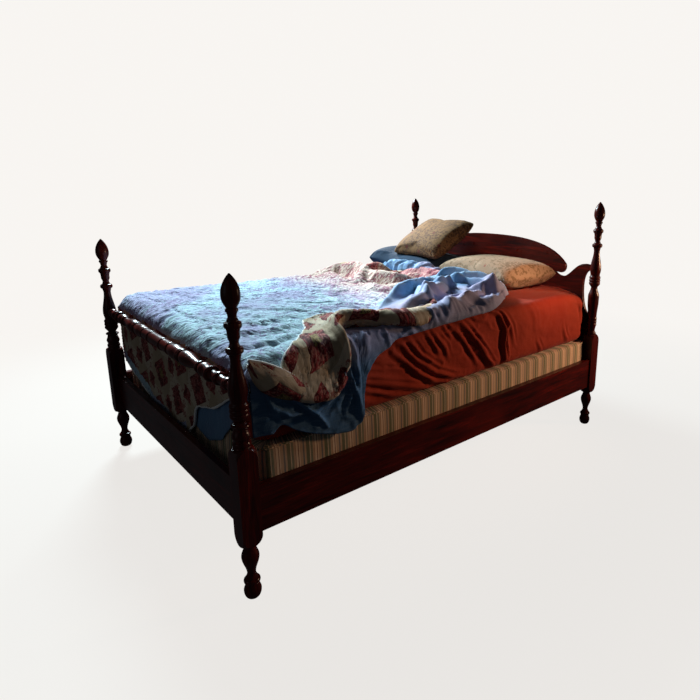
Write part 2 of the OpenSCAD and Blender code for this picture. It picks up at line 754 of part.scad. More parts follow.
// The same over the foot edge: s runs from the foot edge of the flat top down the foot border.
function drape_foot(x, s, off) =
    let (re = mattress_edge_r + skin, a = 90 * max(0, min(1, s / edge_arc)), drop = max(0, s - edge_arc))
    s <= 0 ? [x, bed_y - flat_y - s, top_z + crown_at(x, bed_y - flat_y - s) + off]
        : [x, bed_y - flat_y - (re + off) * sin(a) - foot_flare(drop),
            top_z - re + (re + off) * cos(a) - drop];

// A closed sheet between two grids of points of the same size: over lies outside under.
module sheet_solid(under, over) {
    n = len(under);
    m = len(under[0]);
    k = n * m;
    function at(i, j) = i * m + j;
    polyhedron(
        points = concat([for (row = under) each row], [for (row = over) each row]),
        faces = concat(
            [for (i = [0 : n - 2], j = [0 : m - 2]) each [
                [at(i, j), at(i + 1, j), at(i + 1, j + 1)], [at(i, j), at(i + 1, j + 1), at(i, j + 1)],
                [k + at(i, j), k + at(i + 1, j + 1), k + at(i + 1, j)],
                    [k + at(i, j), k + at(i, j + 1), k + at(i + 1, j + 1)]]],
            [for (j = [0 : m - 2]) each [
                [at(0, j), at(0, j + 1), k + at(0, j + 1)], [at(0, j), k + at(0, j + 1), k + at(0, j)],
                [at(n - 1, j), k + at(n - 1, j + 1), at(n - 1, j + 1)],
                    [at(n - 1, j), k + at(n - 1, j), k + at(n - 1, j + 1)]]],
            [for (i = [0 : n - 2]) each [
                [at(i, 0), k + at(i + 1, 0), at(i + 1, 0)], [at(i, 0), k + at(i, 0), k + at(i + 1, 0)],
                [at(i, m - 1), at(i + 1, m - 1), k + at(i + 1, m - 1)],
                    [at(i, m - 1), k + at(i + 1, m - 1), k + at(i, m - 1)]]]));
}

function mix(a, b, t) = a + (b - a) * t;
function smooth(t) = let (u = max(0, min(1, t))) u * u * (3 - 2 * u);
function hill(x, mid, width) = smooth(1 - abs(x - mid) / width);

// Columns laid at fixed places across, pushed inward where the hem runs short of them.
hem_step = 4;
function hemmed(base, hem) = let (n = len(base))
    [for (k = [0 : n - 1]) min(base[k], hem - (n - 1 - k) * hem_step)];
border = flat_x + edge_arc;
arc_cols = [for (i = [0 : 4]) flat_x + edge_arc * i / 4];

// A panel that hangs over the foot edge between x1 and x0; drops has the hang of each column.
foot_drop = 328;
tuck = 58;
sheet_foot = [0.94 * flat_x, -0.97 * flat_x];
quilt_foot = [0.67 * flat_x, -flat_x];
module foot_panel(x1, x0, off, t, drops) {
    n = len(drops);
    m = 10;
    function down(i, j) = j == 0 ? -tuck : j < 6 ? edge_arc * (j - 1) / 4
        : edge_arc + foot_drop * drops[i] * (j - 5) / 4;
    function lift(j) = j < 2 ? off + layer_gap * 0.6 : off;
    function place(i, j, o) = drape_foot(mix(x1, x0, i / (n - 1)), down(i, j), lift(j) + o);
    sheet_solid(
        [for (i = [0 : n - 1]) [for (j = [0 : m - 1]) place(i, j, 0)]],
        [for (i = [0 : n - 1]) [for (j = [0 : m - 1]) place(i, j, t)]]);
}

// ---------- quilt outline ----------

// Rows of the cloth are shares of half the mattress's length, from its middle.
function row_y(share) = bed_y + share * bed_half;
function row_share(y) = (y - bed_y) / bed_half;

// Distance of the quilt's near edge from the middle, measured over the mattress, at each row.
quilt_rows = [-0.95, -0.89, -0.82, -0.76, -0.72, -0.65, -0.62, -0.59, -0.565, -0.55,
    -0.535, -0.51, -0.465, -0.4, -0.18, -0.05, 0.06, 0.15, 0.24, 0.33];
function quilt_hem(y) = lookup(row_share(y), [
    [-0.95, border + 0.4 * quilt_drop], [-0.89, border + 0.65 * quilt_drop],
        [-0.82, border + 0.87 * quilt_drop],
    [-0.72, border + quilt_drop], [-0.66, border + 0.75 * quilt_drop], [-0.63, border + 0.35 * quilt_drop],
    [-0.59, border], [-0.56, flat_x + edge_arc / 2], [-0.54, flat_x], [-0.51, 0.87 * flat_x],
        [-0.465, 0.73 * flat_x],
    [-0.4, 0.67 * flat_x], [-0.23, 0.83 * flat_x], [-0.06, 0.88 * flat_x], [0.14, 0.79 * flat_x],
        [0.33, 0.73 * flat_x]]);

// ---------- flat sheet ----------

sheet_off = layer_gap;
sheet_in_x = 150;
crumple_gap = (flat_x - sheet_in_x) / 6 + 10;
sheet_rows = [-0.95, -0.89, -0.82, -0.76, -0.7, -0.65, -0.61, -0.59, -0.565, -0.54, -0.5,
    -0.475, -0.45, -0.42, -0.38, -0.275, -0.16, -0.02, 0.12, 0.25, 0.35, 0.445];
function sheet_hem(y) = lookup(row_share(y), [
    [-0.95, border + 0.65 * sheet_drop], [-0.89, border + 0.77 * sheet_drop],
        [-0.76, border + 0.95 * sheet_drop],
    [-0.7, border + sheet_drop], [-0.61, border + 0.96 * sheet_drop], [-0.59, border + 0.77 * sheet_drop],
    [-0.565, border + 0.36 * sheet_drop], [-0.54, border + 0.18 * sheet_drop], [-0.5, border],
        [-0.45, border - 0.1 * sheet_drop],
    [-0.42, border - 0.2 * sheet_drop], [-0.38, border - 0.25 * sheet_drop], [-0.16, 1.02 * flat_x],
    [0.12, 0.98 * flat_x], [0.445, 0.87 * flat_x]]);
sheet_cols = concat([for (i = [0 : 5]) mix(sheet_in_x, flat_x, i / 6)], arc_cols,
    [for (i = [1 : 3]) border + sheet_drop * i / 3]);

// Crumples where the sheet lies open beyond the quilt's edge.
function crumple(s, y) =
    crumple_h * smooth((row_share(y)
        + 0.34) / 0.17) * smooth((s - quilt_hem(y) - crumple_gap) / 50) * smooth((sheet_hem(y) - s) / 50)
    * (0.6 + 0.4 * sin(y * 1.9 + s * 0.8));
function hang_fold(s, y) = 5 * smooth((s - border - sheet_drop / 2) / 50) * (1 + sin(y * 2.3));

module flat_sheet() {
    color([0.25, 0.42, 0.66]) {
        sheet_solid(
            [for (k = [0 : len(sheet_cols) - 1]) [for (f = sheet_rows) let (y = row_y(f))
                drape_x(hemmed(sheet_cols, sheet_hem(y))[k], y, sheet_off)]],
            [for (k = [0 : len(sheet_cols) - 1]) [for (f = sheet_rows)
                let (y = row_y(f), s = hemmed(sheet_cols, sheet_hem(y))[k])
                drape_x(s, y, sheet_off + flat_sheet_t + crumple(s, y) + hang_fold(s, y))]]);
        foot_panel(sheet_foot[0], sheet_foot[1], sheet_off / 2, flat_sheet_t,
            [0.2, 0.82, 1, 0.9, 0.8, 0.75, 0.75, 0.78, 0.8]);
    }
}

// ---------- quilt ----------

quilt_off = sheet_off + flat_sheet_t + layer_gap;
quilt_cols = concat([for (c = [1, 0.5]) -border - quilt_far_drop * c],
    [for (i = [4, 2, 0]) -arc_cols[i]],
    [for (i = [-3 : 3]) (0.27 * i - 0.06) * flat_x], arc_cols,
        [for (i = [1 : 3]) border + quilt_drop * i / 3]);

// The rows near the head bend to follow the quilt's head edge.
function quilt_row_y(f, s) = row_y(f) + quilt_reach * smooth((f + 0.05) / 0.38)
    * lookup(s / flat_x, [[-1.2, -0.4], [-0.86, 0], [-0.6, 0.65], [-0.22, 1], [0.06, 1],
        [0.3, 0.6], [0.55, -0.2], [0.75, -0.35]]);

// Each lump: share of half the flat width and of half the length, half widths across and along,
// and share of the full height.
quilt_lumps = [[-0.62, 0.23, 230, 110, 1], [-0.06, 0.23, 170, 110, 0.8],
    [-0.2, 0.48, 330, 110, 0.8], [0.21, 0.36, 170, 110, 0.65]];
function lump(s, y) =
    smooth((flat_x - abs(s)) / 60) * (3 + 3 * sin(y * 1.3 + s * 0.35) + quilt_lump
    * max([for (l = quilt_lumps)
        l[4] * hill(s, l[0] * flat_x, l[2]) * hill(row_share(y), l[1], l[3] / bed_half)]));

// The rolled edge where the quilt is folded back, from the foot to the head.
roll_r = 24;
roll_rows = [-0.52, -0.47, -0.41, -0.34, -0.23, -0.12, 0, 0.09, 0.17, 0.24];
module quilt_roll() {
    n = len(roll_rows);
    m = 7;
    function around(i, j, r) = let (y = row_y(roll_rows[i]), t = i / (n - 1),
        rr = r * (0.55 + 0.45 * sin(180 * t)), a = 220 * j / (m - 1) - 20)
        [quilt_hem(y) - roll_r - 14 + rr * 1.5 * cos(a), y,
            top_z + crown_at(quilt_hem(y), y) + quilt_off + quilt_t + rr * sin(a)];
    sheet_solid(
        [for (j = [0 : m - 1]) [for (i = [0 : n - 1]) around(i, m - 1 - j, roll_r * 0.3)]],
        [for (j = [0 : m - 1]) [for (i = [0 : n - 1]) around(i, m - 1 - j, roll_r)]]);
}

module quilt() {
    color([0.80, 0.82, 0.88]) {
        sheet_solid(
            [for (k = [0 : len(quilt_cols) - 1]) [for (f = quilt_rows)
                let (s = hemmed(quilt_cols, quilt_hem(row_y(f)))[k])
                drape_x(s, quilt_row_y(f, s), quilt_off)]],
            [for (k = [0 : len(quilt_cols) - 1]) [for (f = quilt_rows)
                let (s = hemmed(quilt_cols, quilt_hem(row_y(f)))[k], y = quilt_row_y(f, s))
                drape_x(s, y, quilt_off + quilt_t + lump(s, y))]]);
        foot_panel(quilt_foot[0], quilt_foot[1], sheet_off + flat_sheet_t, quilt_t * 0.7,
            [0.32, 0.5, 0.93, 1, 1, 0.96, 0.84, 0.73, 0.63]);
        quilt_roll();
    }
}

// ---------- pillows ----------

pillow_rest_z = top_z + mattress_crown + 1;
pillow_n = 12;
pillow_m = 9;

// A cushion with a crown, thin edges and sides drawn in between its corners, about its own centre.
module cushion(w, d, t) {
    function plan(u, v) = [w / 2 * u * (1 - 0.07 * (1 - v * v) * u * u),
        d / 2 * v * (1 - 0.08 * (1 - u * u) * v * v)];
    function puff(u, v) = 3 + (t / 2 - 3) * pow(max(0, 1 - pow(abs(u), 3.2)) * max(0,
        1 - pow(abs(v), 2.8)), 0.55);
    us = [for (i = [0 : pillow_n]) sin(90 * (2 * i / pillow_n - 1))];
    vs = [for (j = [0 : pillow_m]) sin(90 * (2 * j / pillow_m - 1))];
    sheet_solid(
        [for (u = us) [for (v = vs) concat(plan(u, v), -puff(u, v))]],
        [for (u = us) [for (v = vs) concat(plan(u, v), puff(u, v))]]);
}

head_y = bed_y + bed_half;
under_pillow_at = [-400, head_y - 229.5];
under_pillow_size = [1.06 * pillow_w, pillow_d - 20];
cream_pillow_at = [250, head_y - 248.5];
cream_pillow_turn = -4;
propped_pillow_at = [-275, head_y - 224.5];
propped_pillow_d = 390;
propped_pillow_turn = -3;
// The khaki pillow's belly touches the blue pillow's front half.
propped_rise = under_pillow_t + propped_pillow_t / 2 / cos(propped_tilt)
    + 0.235 * propped_pillow_d * sin(propped_tilt);

module pillow_blue() {
    color([0.10, 0.16, 0.34])
        translate([under_pillow_at[0], under_pillow_at[1], pillow_rest_z + under_pillow_t / 2])
            cushion(under_pillow_size[0], under_pillow_size[1], under_pillow_t);
}

module pillow_khaki() {
    color([0.66, 0.58, 0.42])
        translate([propped_pillow_at[0], propped_pillow_at[1], pillow_rest_z + propped_rise])
            rotate([propped_tilt, 0, propped_pillow_turn])
                cushion(propped_pillow_w, propped_pillow_d, propped_pillow_t);
}

module pillow_cream() {
    color([0.88, 0.80, 0.66])
        translate([cream_pillow_at[0], cream_pillow_at[1], pillow_rest_z + pillow_t / 2])
            rotate([0, 0, cream_pillow_turn]) cushion(pillow_w, pillow_d, pillow_t);
}

// ---------- nodes ----------

post(LEFT, FOOT);  // foot_post_left
post(RIGHT, FOOT);  // foot_post_right
post(LEFT, HEAD);  // head_post_left
post(RIGHT, HEAD);  // head_post_right
finial(LEFT, FOOT);  // foot_finial_left
finial(RIGHT, FOOT);  // foot_finial_right
finial(LEFT, HEAD);  // head_finial_left
finial(RIGHT, HEAD);  // head_finial_right
headboard();
end_rail(HEAD);  // head_rail
end_rail(FOOT);  // foot_rail
blanket_rail();
side_rail(LEFT);  // side_rail_left
side_rail(RIGHT);  // side_rail_right
ledger(LEFT);  // ledger_left
ledger(RIGHT);  // ledger_right
slat(1);  // slat_1
slat(2);  // slat_2
slat(3);  // slat_3
slat(4);  // slat_4
slat(5);  // slat_5
hook_plates();
hook_pins();
ledger_screws();
box_spring_frame();
box_spring_deck();
box_spring_pad();
box_spring_cover();
box_spring_piping();
mattress_core();
mattress_cover();
fitted_sheet();
flat_sheet();
quilt();
pillow_blue();
pillow_khaki();
pillow_cream();
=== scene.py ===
"""Looks for a low-post bed with its box spring, mattress, sheets, quilt and pillows.

Metres, in the frame of the CAD model: +X to the right seen from the foot, +Y to the headboard, +Z up.
"""

import math

import bmesh
import bpy
import numpy as np
from mathutils import Matrix, Vector


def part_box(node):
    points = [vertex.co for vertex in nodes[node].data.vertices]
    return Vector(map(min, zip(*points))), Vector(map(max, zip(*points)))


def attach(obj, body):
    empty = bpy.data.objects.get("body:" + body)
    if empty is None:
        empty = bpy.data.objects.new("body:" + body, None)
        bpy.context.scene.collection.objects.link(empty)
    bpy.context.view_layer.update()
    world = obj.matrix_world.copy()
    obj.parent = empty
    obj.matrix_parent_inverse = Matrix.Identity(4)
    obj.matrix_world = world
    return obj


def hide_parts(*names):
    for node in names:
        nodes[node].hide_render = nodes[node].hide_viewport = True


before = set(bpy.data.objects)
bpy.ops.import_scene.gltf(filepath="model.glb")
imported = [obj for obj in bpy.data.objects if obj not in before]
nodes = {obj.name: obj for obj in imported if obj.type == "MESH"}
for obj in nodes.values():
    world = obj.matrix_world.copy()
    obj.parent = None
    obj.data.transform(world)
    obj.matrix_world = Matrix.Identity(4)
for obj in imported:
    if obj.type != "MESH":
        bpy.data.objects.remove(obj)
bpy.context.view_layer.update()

# The nodes of each timber, by the axis that their grain runs along.
WOOD_NODES = {
    "Z": [f"{end}_{part}_{side}" for end in ("foot", "head") for part in ("post", "finial")
          for side in ("left", "right")],
    "X": ["headboard", "head_rail", "foot_rail", "blanket_rail"],
    "Y": ["side_rail_left", "side_rail_right"],
}
TIMBER_NODES = {
    "X": [f"slat_{i}" for i in range(1, 6)] + ["box_spring_deck"],
    "Y": ["ledger_left", "ledger_right", "box_spring_frame"],
}
STEEL_NODES = ["hook_plates", "hook_pins", "ledger_screws"]

# ---------- camera, light and floor ----------

EYE = Vector((2.1665, -1.5905, 1.2627))
EYE_YAW = 0.8202
EYE_PITCH = -0.2235
EYE_ROLL = 0.0054
LENS_MM = 27.76
SHIFT = (-0.1093, -0.0516)
PAPER = (0.94, 0.915, 0.885)
AMBIENT = (0.85, 0.90, 1.0)
AMBIENT_STRENGTH = 0.027
FLOOR_HALF = 30
# A wide cool light behind the far side, a low bright one on the head end with a narrow beam beside it, two
# warm ones on the near side, a faint one on the foot end, and one that grazes the hanging sheet.
# Kind, name, place, aim, width in metres or cone in degrees, watts, colour.
LIGHTS = [
    ("AREA", "window", (-3.0, 0.1, 3.1), (0, -0.1, 0.75), 1.1, 390, (0.72, 0.93, 1.0)),
    ("SPOT", "sun", (-3.2, 1.5, 2.5), (0.30, 0.22, 0.80), 19, 1000, (1.0, 0.95, 0.88)),
    ("SPOT", "gap", (-2.6, -0.6, 2.9), (0.44, 0.0, 0.84), 8, 700, (0.95, 0.98, 1.0)),
    ("SPOT", "room", (1.7, 1.9, 1.0), (0.72, 0.62, 0.62), 54, 105, (1.0, 0.62, 0.38)),
    ("SPOT", "lamp", (2.0, 0.2, 1.7), (0.48, 0.68, 0.84), 21, 165, (1.0, 0.56, 0.34)),
    ("AREA", "door", (0.5, -3.6, 1.5), (0.0, -0.9, 0.5), 2.0, 1.7, (0.78, 0.90, 1.0)),
    ("SPOT", "skim", (0.98, 0.35, 1.1), (0.74, -0.70, 0.60), 24, 13, (0.74, 0.88, 1.0)),
]


def make_camera():
    data = bpy.data.cameras.new("camera")
    data.lens = LENS_MM
    data.shift_x, data.shift_y = SHIFT
    level = Vector((math.cos(EYE_YAW), math.sin(EYE_YAW), 0))
    ahead = Vector((-math.sin(EYE_YAW) * math.cos(EYE_PITCH), math.cos(EYE_YAW) * math.cos(EYE_PITCH),
                    math.sin(EYE_PITCH)))
    up = level.cross(ahead)
    right = level * math.cos(EYE_ROLL) + up * math.sin(EYE_ROLL)
    up = right.cross(ahead)
    camera = bpy.data.objects.new("camera", data)
    camera.matrix_world = Matrix.Translation(EYE) @ Matrix((right, up, -ahead)).transposed().to_4x4()
    bpy.context.scene.collection.objects.link(camera)
    bpy.context.scene.camera = camera


def make_light(kind, name, place, aim, width, watts, colour):
    data = bpy.data.lights.new(name, kind)
    if kind == "AREA":
        data.shape = "DISK"
        data.size = width
    else:
        data.spot_size = math.radians(width)
        data.spot_blend = 0.9
        data.shadow_soft_size = 0.12
    data.energy = watts
    data.color = colour
    light = bpy.data.objects.new(name, data)
    light.location = place
    light.rotation_euler = (Vector(aim) - Vector(place)).to_track_quat("-Z", "Y").to_euler()
    bpy.context.scene.collection.objects.link(light)


def make_world():
    """A faint sky for the light, behind it a plain pale backdrop that only the camera sees."""
    world = bpy.data.worlds.new("studio")
    world.use_nodes = True
    tree = world.node_tree
    sky = tree.nodes["Background"]
    sky.inputs["Color"].default_value = (*AMBIENT, 1)
    sky.inputs["Strength"].default_value = AMBIENT_STRENGTH
    paper = tree.nodes.new("ShaderNodeBackground")
    paper.inputs["Color"].default_value = (*PAPER, 1)
    seen = tree.nodes.new("ShaderNodeLightPath")
    either = tree.nodes.new("ShaderNodeMixShader")
    tree.links.new(seen.outputs["Is Camera Ray"], either.inputs[0])
    tree.links.new(sky.outputs[0], either.inputs[1])
    tree.links.new(paper.outputs[0], either.inputs[2])
    tree.links.new(either.outputs[0], tree.nodes["World Output"].inputs["Surface"])
    bpy.context.scene.world = world
    bpy.context.scene.view_settings.view_transform = "Standard"


# ---------- materials ----------


class Look:
    """A node material being built: add() makes a node, and a socket or a plain value goes into each input."""

    def __init__(self, name, **values):
        self.material = bpy.data.materials.new(name)
        self.material.use_nodes = True
        self.tree = self.material.node_tree
        self.shader = self.tree.nodes["Principled BSDF"]
        for socket, value in values.items():
            self.put(value, self.shader.inputs[socket.replace("_", " ")])

    def put(self, value, socket):
        if isinstance(value, bpy.types.NodeSocket):
            self.tree.links.new(value, socket)
        elif isinstance(value, tuple) and len(value) == 3 and socket.type == "RGBA":
            socket.default_value = (*value, 1)
        else:
            socket.default_value = value

    def add(self, kind, inputs, output=0, **settings):
        node = self.tree.nodes.new("ShaderNode" + kind)
        for key, value in settings.items():
            setattr(node, key, value)
        for key, value in inputs.items():
            self.put(value, node.inputs[key])
        return node.outputs[output]

    def place(self):
        return self.add("TexCoord", {}, "Object")

    def flat(self):
        return self.add("UVMap", {}, uv_map="flat")

    def scaled(self, vector, scale, turn=0.0):
        return self.add("Mapping", {"Vector": vector, "Scale": scale, "Rotation": (0, 0, turn)})

    def turned(self, vector, angle):
        return self.scaled(vector, (1, 1, 1), angle)

    def noise(self, vector, scale, detail=3.0, roughness=0.5, distortion=0.0):
        inputs = dict(Vector=vector, Scale=scale, Detail=detail, Roughness=roughness, Distortion=distortion)
        return self.add("TexNoise", inputs)

    def cells(self, vector, scale, randomness=1.0, output="Distance", **settings):
        inputs = dict(Vector=vector, Scale=scale, Randomness=randomness)
        return self.add("TexVoronoi", inputs, output, **settings)

    def math(self, operation, a, b=0.0, c=0.0):
        return self.add("Math", {0: a, 1: b, 2: c}, operation=operation)

    def plus(self, a, b):
        return self.math("ADD", a, b)

    def times(self, a, b):
        return self.math("MULTIPLY", a, b)

    def times_plus(self, a, b, c):
        return self.math("MULTIPLY_ADD", a, b, c)

    def apart(self, a, b):
        return self.math("ABSOLUTE", self.math("SUBTRACT", a, b))

    def between(self, value, low, high):
        """0 up to low, 1 from high on, smooth between."""
        inputs = {"Value": value, "From Min": low, "From Max": high}
        return self.add("MapRange", inputs, interpolation_type="SMOOTHSTEP")

    def mix(self, factor, a, b):
        return self.add("Mix", {0: factor, 6: a, 7: b}, 2, data_type="RGBA")

    def tint(self, value, low, high, tone, colour, most=1.0):
        """Turns tone into colour as value goes from low to high, with no more than most of it."""
        amount = self.between(value, low, high)
        if most < 1.0:
            amount = self.times(amount, most)
        return self.mix(amount, tone, colour)

    def ramp(self, factor, stops, sharp=False):
        node = self.tree.nodes.new("ShaderNodeValToRGB")
        node.color_ramp.interpolation = "CONSTANT" if sharp else "EASE"
        for at, _ in stops[1:-1]:
            node.color_ramp.elements.new(at)
        for element, (at, colour) in zip(node.color_ramp.elements, stops):
            element.position = at
            element.color = (*colour, 1)
        self.put(factor, node.inputs[0])
        return node.outputs[0]

    def part(self, vector, axis):
        return self.add("SeparateXYZ", {"Vector": vector}, axis)

    def colour(self, socket):
        self.put(socket, self.shader.inputs["Base Color"])

    def rough(self, value, spread, least):
        self.put(self.times_plus(value, spread, least), self.shader.inputs["Roughness"])

    def bump(self, height, depth, under=None):
        """Adds a bump of that depth in metres, over another one where under is given."""
        inputs = {"Height": height, "Strength": 1.0, "Distance": depth}
        if under is not None:
            inputs["Normal"] = under
        normal = self.add("Bump", inputs)
        self.put(normal, self.shader.inputs["Normal"])
        return normal


def cloth_look(name, roughness, sheen, specular, sheen_roughness=0.5):
    return Look(name, Roughness=roughness, Sheen_Weight=sheen, Sheen_Roughness=sheen_roughness,
                Specular_IOR_Level=specular)


def grain_place(look, axis, along, across):
    """The object's own place, stretched along the grain."""
    return look.scaled(look.place(), tuple(along if name == axis else across for name in "XYZ"))


def wood_look(axis):
    """Dark red mahogany under a gloss varnish, with its grain along one axis."""
    look = Look(f"mahogany_{axis}", Coat_Weight=0.11, Coat_Roughness=0.2, Specular_IOR_Level=0.18)
    grain = grain_place(look, axis, 0.7, 9)
    bands = look.noise(grain, 3.2, 5, 0.6, 1.4)
    fibres = look.noise(grain, 26, 3, 0.6)
    pores = look.noise(grain, 90, 1)
    tone = look.ramp(bands, [(0.3, (0.02, 0.0012, 0.001)), (0.5, (0.08, 0.0045, 0.002)),
                             (0.72, (0.19, 0.011, 0.005))])
    tone = look.tint(fibres, 0.35, 0.7, look.mix(0.55, tone, (0.012, 0.004, 0.003)), tone)
    handled = look.noise(look.place(), 2.3, 2)
    look.colour(look.tint(handled, 0.5, 0.75, tone, (0.20, 0.016, 0.007), 0.35))
    look.rough(look.noise(look.place(), 14, 4), 0.22, 0.2)
    look.bump(pores, 0.00012, look.bump(fibres, 0.00025))
    return look.material


def timber_look(axis):
    """Sawn softwood."""
    look = Look(f"softwood_{axis}", Roughness=0.72)
    grain = grain_place(look, axis, 0.6, 8)
    rings = look.noise(grain, 3.0, 4, 0.5, 2.0)
    lines = look.math("FRACT", look.times(rings, 9.0))
    look.colour(look.ramp(lines, [(0.0, (0.62, 0.44, 0.25)), (0.6, (0.55, 0.37, 0.2)),
                                  (0.95, (0.36, 0.2, 0.09))]))
    look.bump(look.noise(grain, 60, 2), 0.0004)
    return look.material


def steel_look():
    """Zinc plate with faint spangles."""
    look = Look("zinc_plate", Metallic=1.0)
    spangle = look.cells(look.place(), 160, 1.0, "Color")
    look.colour(look.mix(0.08, (0.5, 0.5, 0.51), spangle))
    look.rough(look.noise(look.place(), 70), 0.25, 0.28)
    look.bump(look.noise(look.place(), 300, 2), 0.00005)
    return look.material


def weave_bump(look, vector, threads=700.0, depth=0.00025, under=None):
    """Over and under threads at that count per metre."""
    inputs = {"Vector": vector, "Scale": threads / 6.2832}
    across, along = (look.add("TexWave", inputs, bands_direction=way) for way in "XY")
    return look.bump(look.math("MAXIMUM", across, along), depth, under)


def cotton_look(name, base, shade, dust, hung=None, lilac=None):
    """Plain cotton with slubs and faint creases, between base and shade in colour, with a dusty bloom.

    A sheet's hanging part may be painted darker than its top, a painted shade on the side and foot hang
    (hung), and the top may turn lilac toward the near side (lilac)."""
    look = cloth_look(name, 0.85, 0.06, 0.12, 0.4)
    flat = look.flat()
    tone = look.tint(look.noise(flat, 3.5, 3), 0.3, 0.75, shade, base)
    if lilac is not None:
        sideways = look.times_plus(look.noise(flat, 5, 2), 0.6, look.part(flat, 0))
        tone = look.tint(sideways, 0.66, 0.92, tone, lilac)
    if hung is not None:
        # Painted shade: the hanging side, and less of it the foot hang, are darkened toward the hung colour.
        over_foot = look.times(look.between(look.part(flat, 1), 0.36, 0.22), 0.6)
        down = look.math("MAXIMUM", look.between(look.part(flat, 0), 0.60, 0.78), over_foot)
        tone = look.mix(down, tone, hung)
    slub = look.noise(look.scaled(flat, (140, 14, 1)), 1.0, 2)
    look.colour(look.tint(slub, 0.45, 0.8, tone, dust, 0.16))
    rumples = look.noise(look.scaled(flat, (1, 2.2, 1)), 22, 4, 0.55, 0.6)
    weave_bump(look, flat, under=look.bump(rumples, 0.0016))
    return look.material


TICKING_REPEAT = 0.070


def ticking_look():
    """Woven ticking: thin green, rust, brown and grey-blue stripes on a peach ground."""
    look = cloth_look("ticking", 0.8, 0.15, 0.3)
    flat = look.flat()
    repeat = look.math("FRACT", look.times(look.part(flat, 0), 1 / TICKING_REPEAT))
    tan = (0.58, 0.37, 0.22)
    pale = (0.86, 0.63, 0.42)
    stops = [(0.0, pale), (0.07, (0.20, 0.045, 0.025)), (0.11, pale), (0.17, tan), (0.32, (0.15, 0.16, 0.15)),
             (0.40, tan), (0.50, (0.13, 0.14, 0.065)), (0.68, pale), (0.72, (0.19, 0.20, 0.12)), (0.84, tan),
             (0.93, (0.34, 0.12, 0.06)), (0.96, pale)]
    stripes = look.ramp(repeat, stops, sharp=True)
    aged = look.tint(look.noise(look.place(), 5, 4), 0.4, 0.8, stripes, (0.42, 0.29, 0.2), 0.3)
    thread = look.noise(look.scaled(flat, (900, 60, 1)), 1.0, 1)
    look.colour(look.mix(look.times(thread, 0.18), aged, (0.3, 0.2, 0.13)))
    weave_bump(look, flat, 600, 0.0003)
    return look.material


def quilt_top_look():
    """The printed side: a pale blue and lilac ground with soft rose sprays, all warmer toward the pillows,
    where its colours are painted light: warm sunlight by the pillows and cool daylight toward the foot.
    """
    look = cloth_look("quilt_print", 0.88, 0.05, 0.1)
    flat = look.flat()
    along = look.part(flat, 1)
    slanted = look.turned(flat, -0.7)
    drift = look.noise(flat, 4, 2)
    # Ground, hollows and roses shift from painted cool daylight colour at the foot to painted warm sunlight
    # colour by the pillows.
    painted_sunlight_to_head = look.between(look.plus(along, look.times(drift, 0.3)), 0.85, 1.35)
    puckers = look.noise(look.scaled(slanted, (9, 44, 1)), 1.0, 3, 0.55, 0.7)
    pinches = look.noise(look.scaled(slanted, (26, 90, 1)), 1.0, 2, 0.5, 0.5)
    cool = look.tint(look.noise(flat, 3.2, 3, 0.6, 0.6), 0.40, 0.60, (0.44, 0.61, 0.68), (0.36, 0.37, 0.53))
    ground = look.mix(painted_sunlight_to_head, cool, (0.70, 0.56, 0.47))
    # The hollows between the puckers are painted darker mauve, a painted shade that follows the pucker bumps.
    painted_pucker_shade = look.mix(painted_sunlight_to_head, (0.16, 0.17, 0.33), (0.36, 0.15, 0.18))
    ground = look.tint(look.plus(puckers, look.times(pinches, 0.5)), 0.68, 0.56, ground, painted_pucker_shade, 0.75)
    ground = look.tint(look.times_plus(drift, 0.2, along), 1.38, 1.5, ground, (0.42, 0.15, 0.18), 0.75)
    rose = look.mix(painted_sunlight_to_head, (0.23, 0.17, 0.33), (0.27, 0.05, 0.08))
    sprays = look.noise(flat, 5.5, 4, 0.6, 0.6)
    petals = look.noise(look.scaled(slanted, (1, 1.7, 1)), 52, 3, 0.65, 1.0)
    dense = look.times_plus(sprays, 0.5, look.times(look.between(along, 0.5, 0.8), 0.07))
    look.colour(look.tint(look.plus(dense, petals), 0.81, 0.87, ground, rose, 0.85))
    weave_bump(look, flat, 650, 0.0003, look.bump(pinches, 0.004, look.bump(puckers, 0.010)))
    return look.material


PATCH = 0.19
PATCH_TURN = 0.35


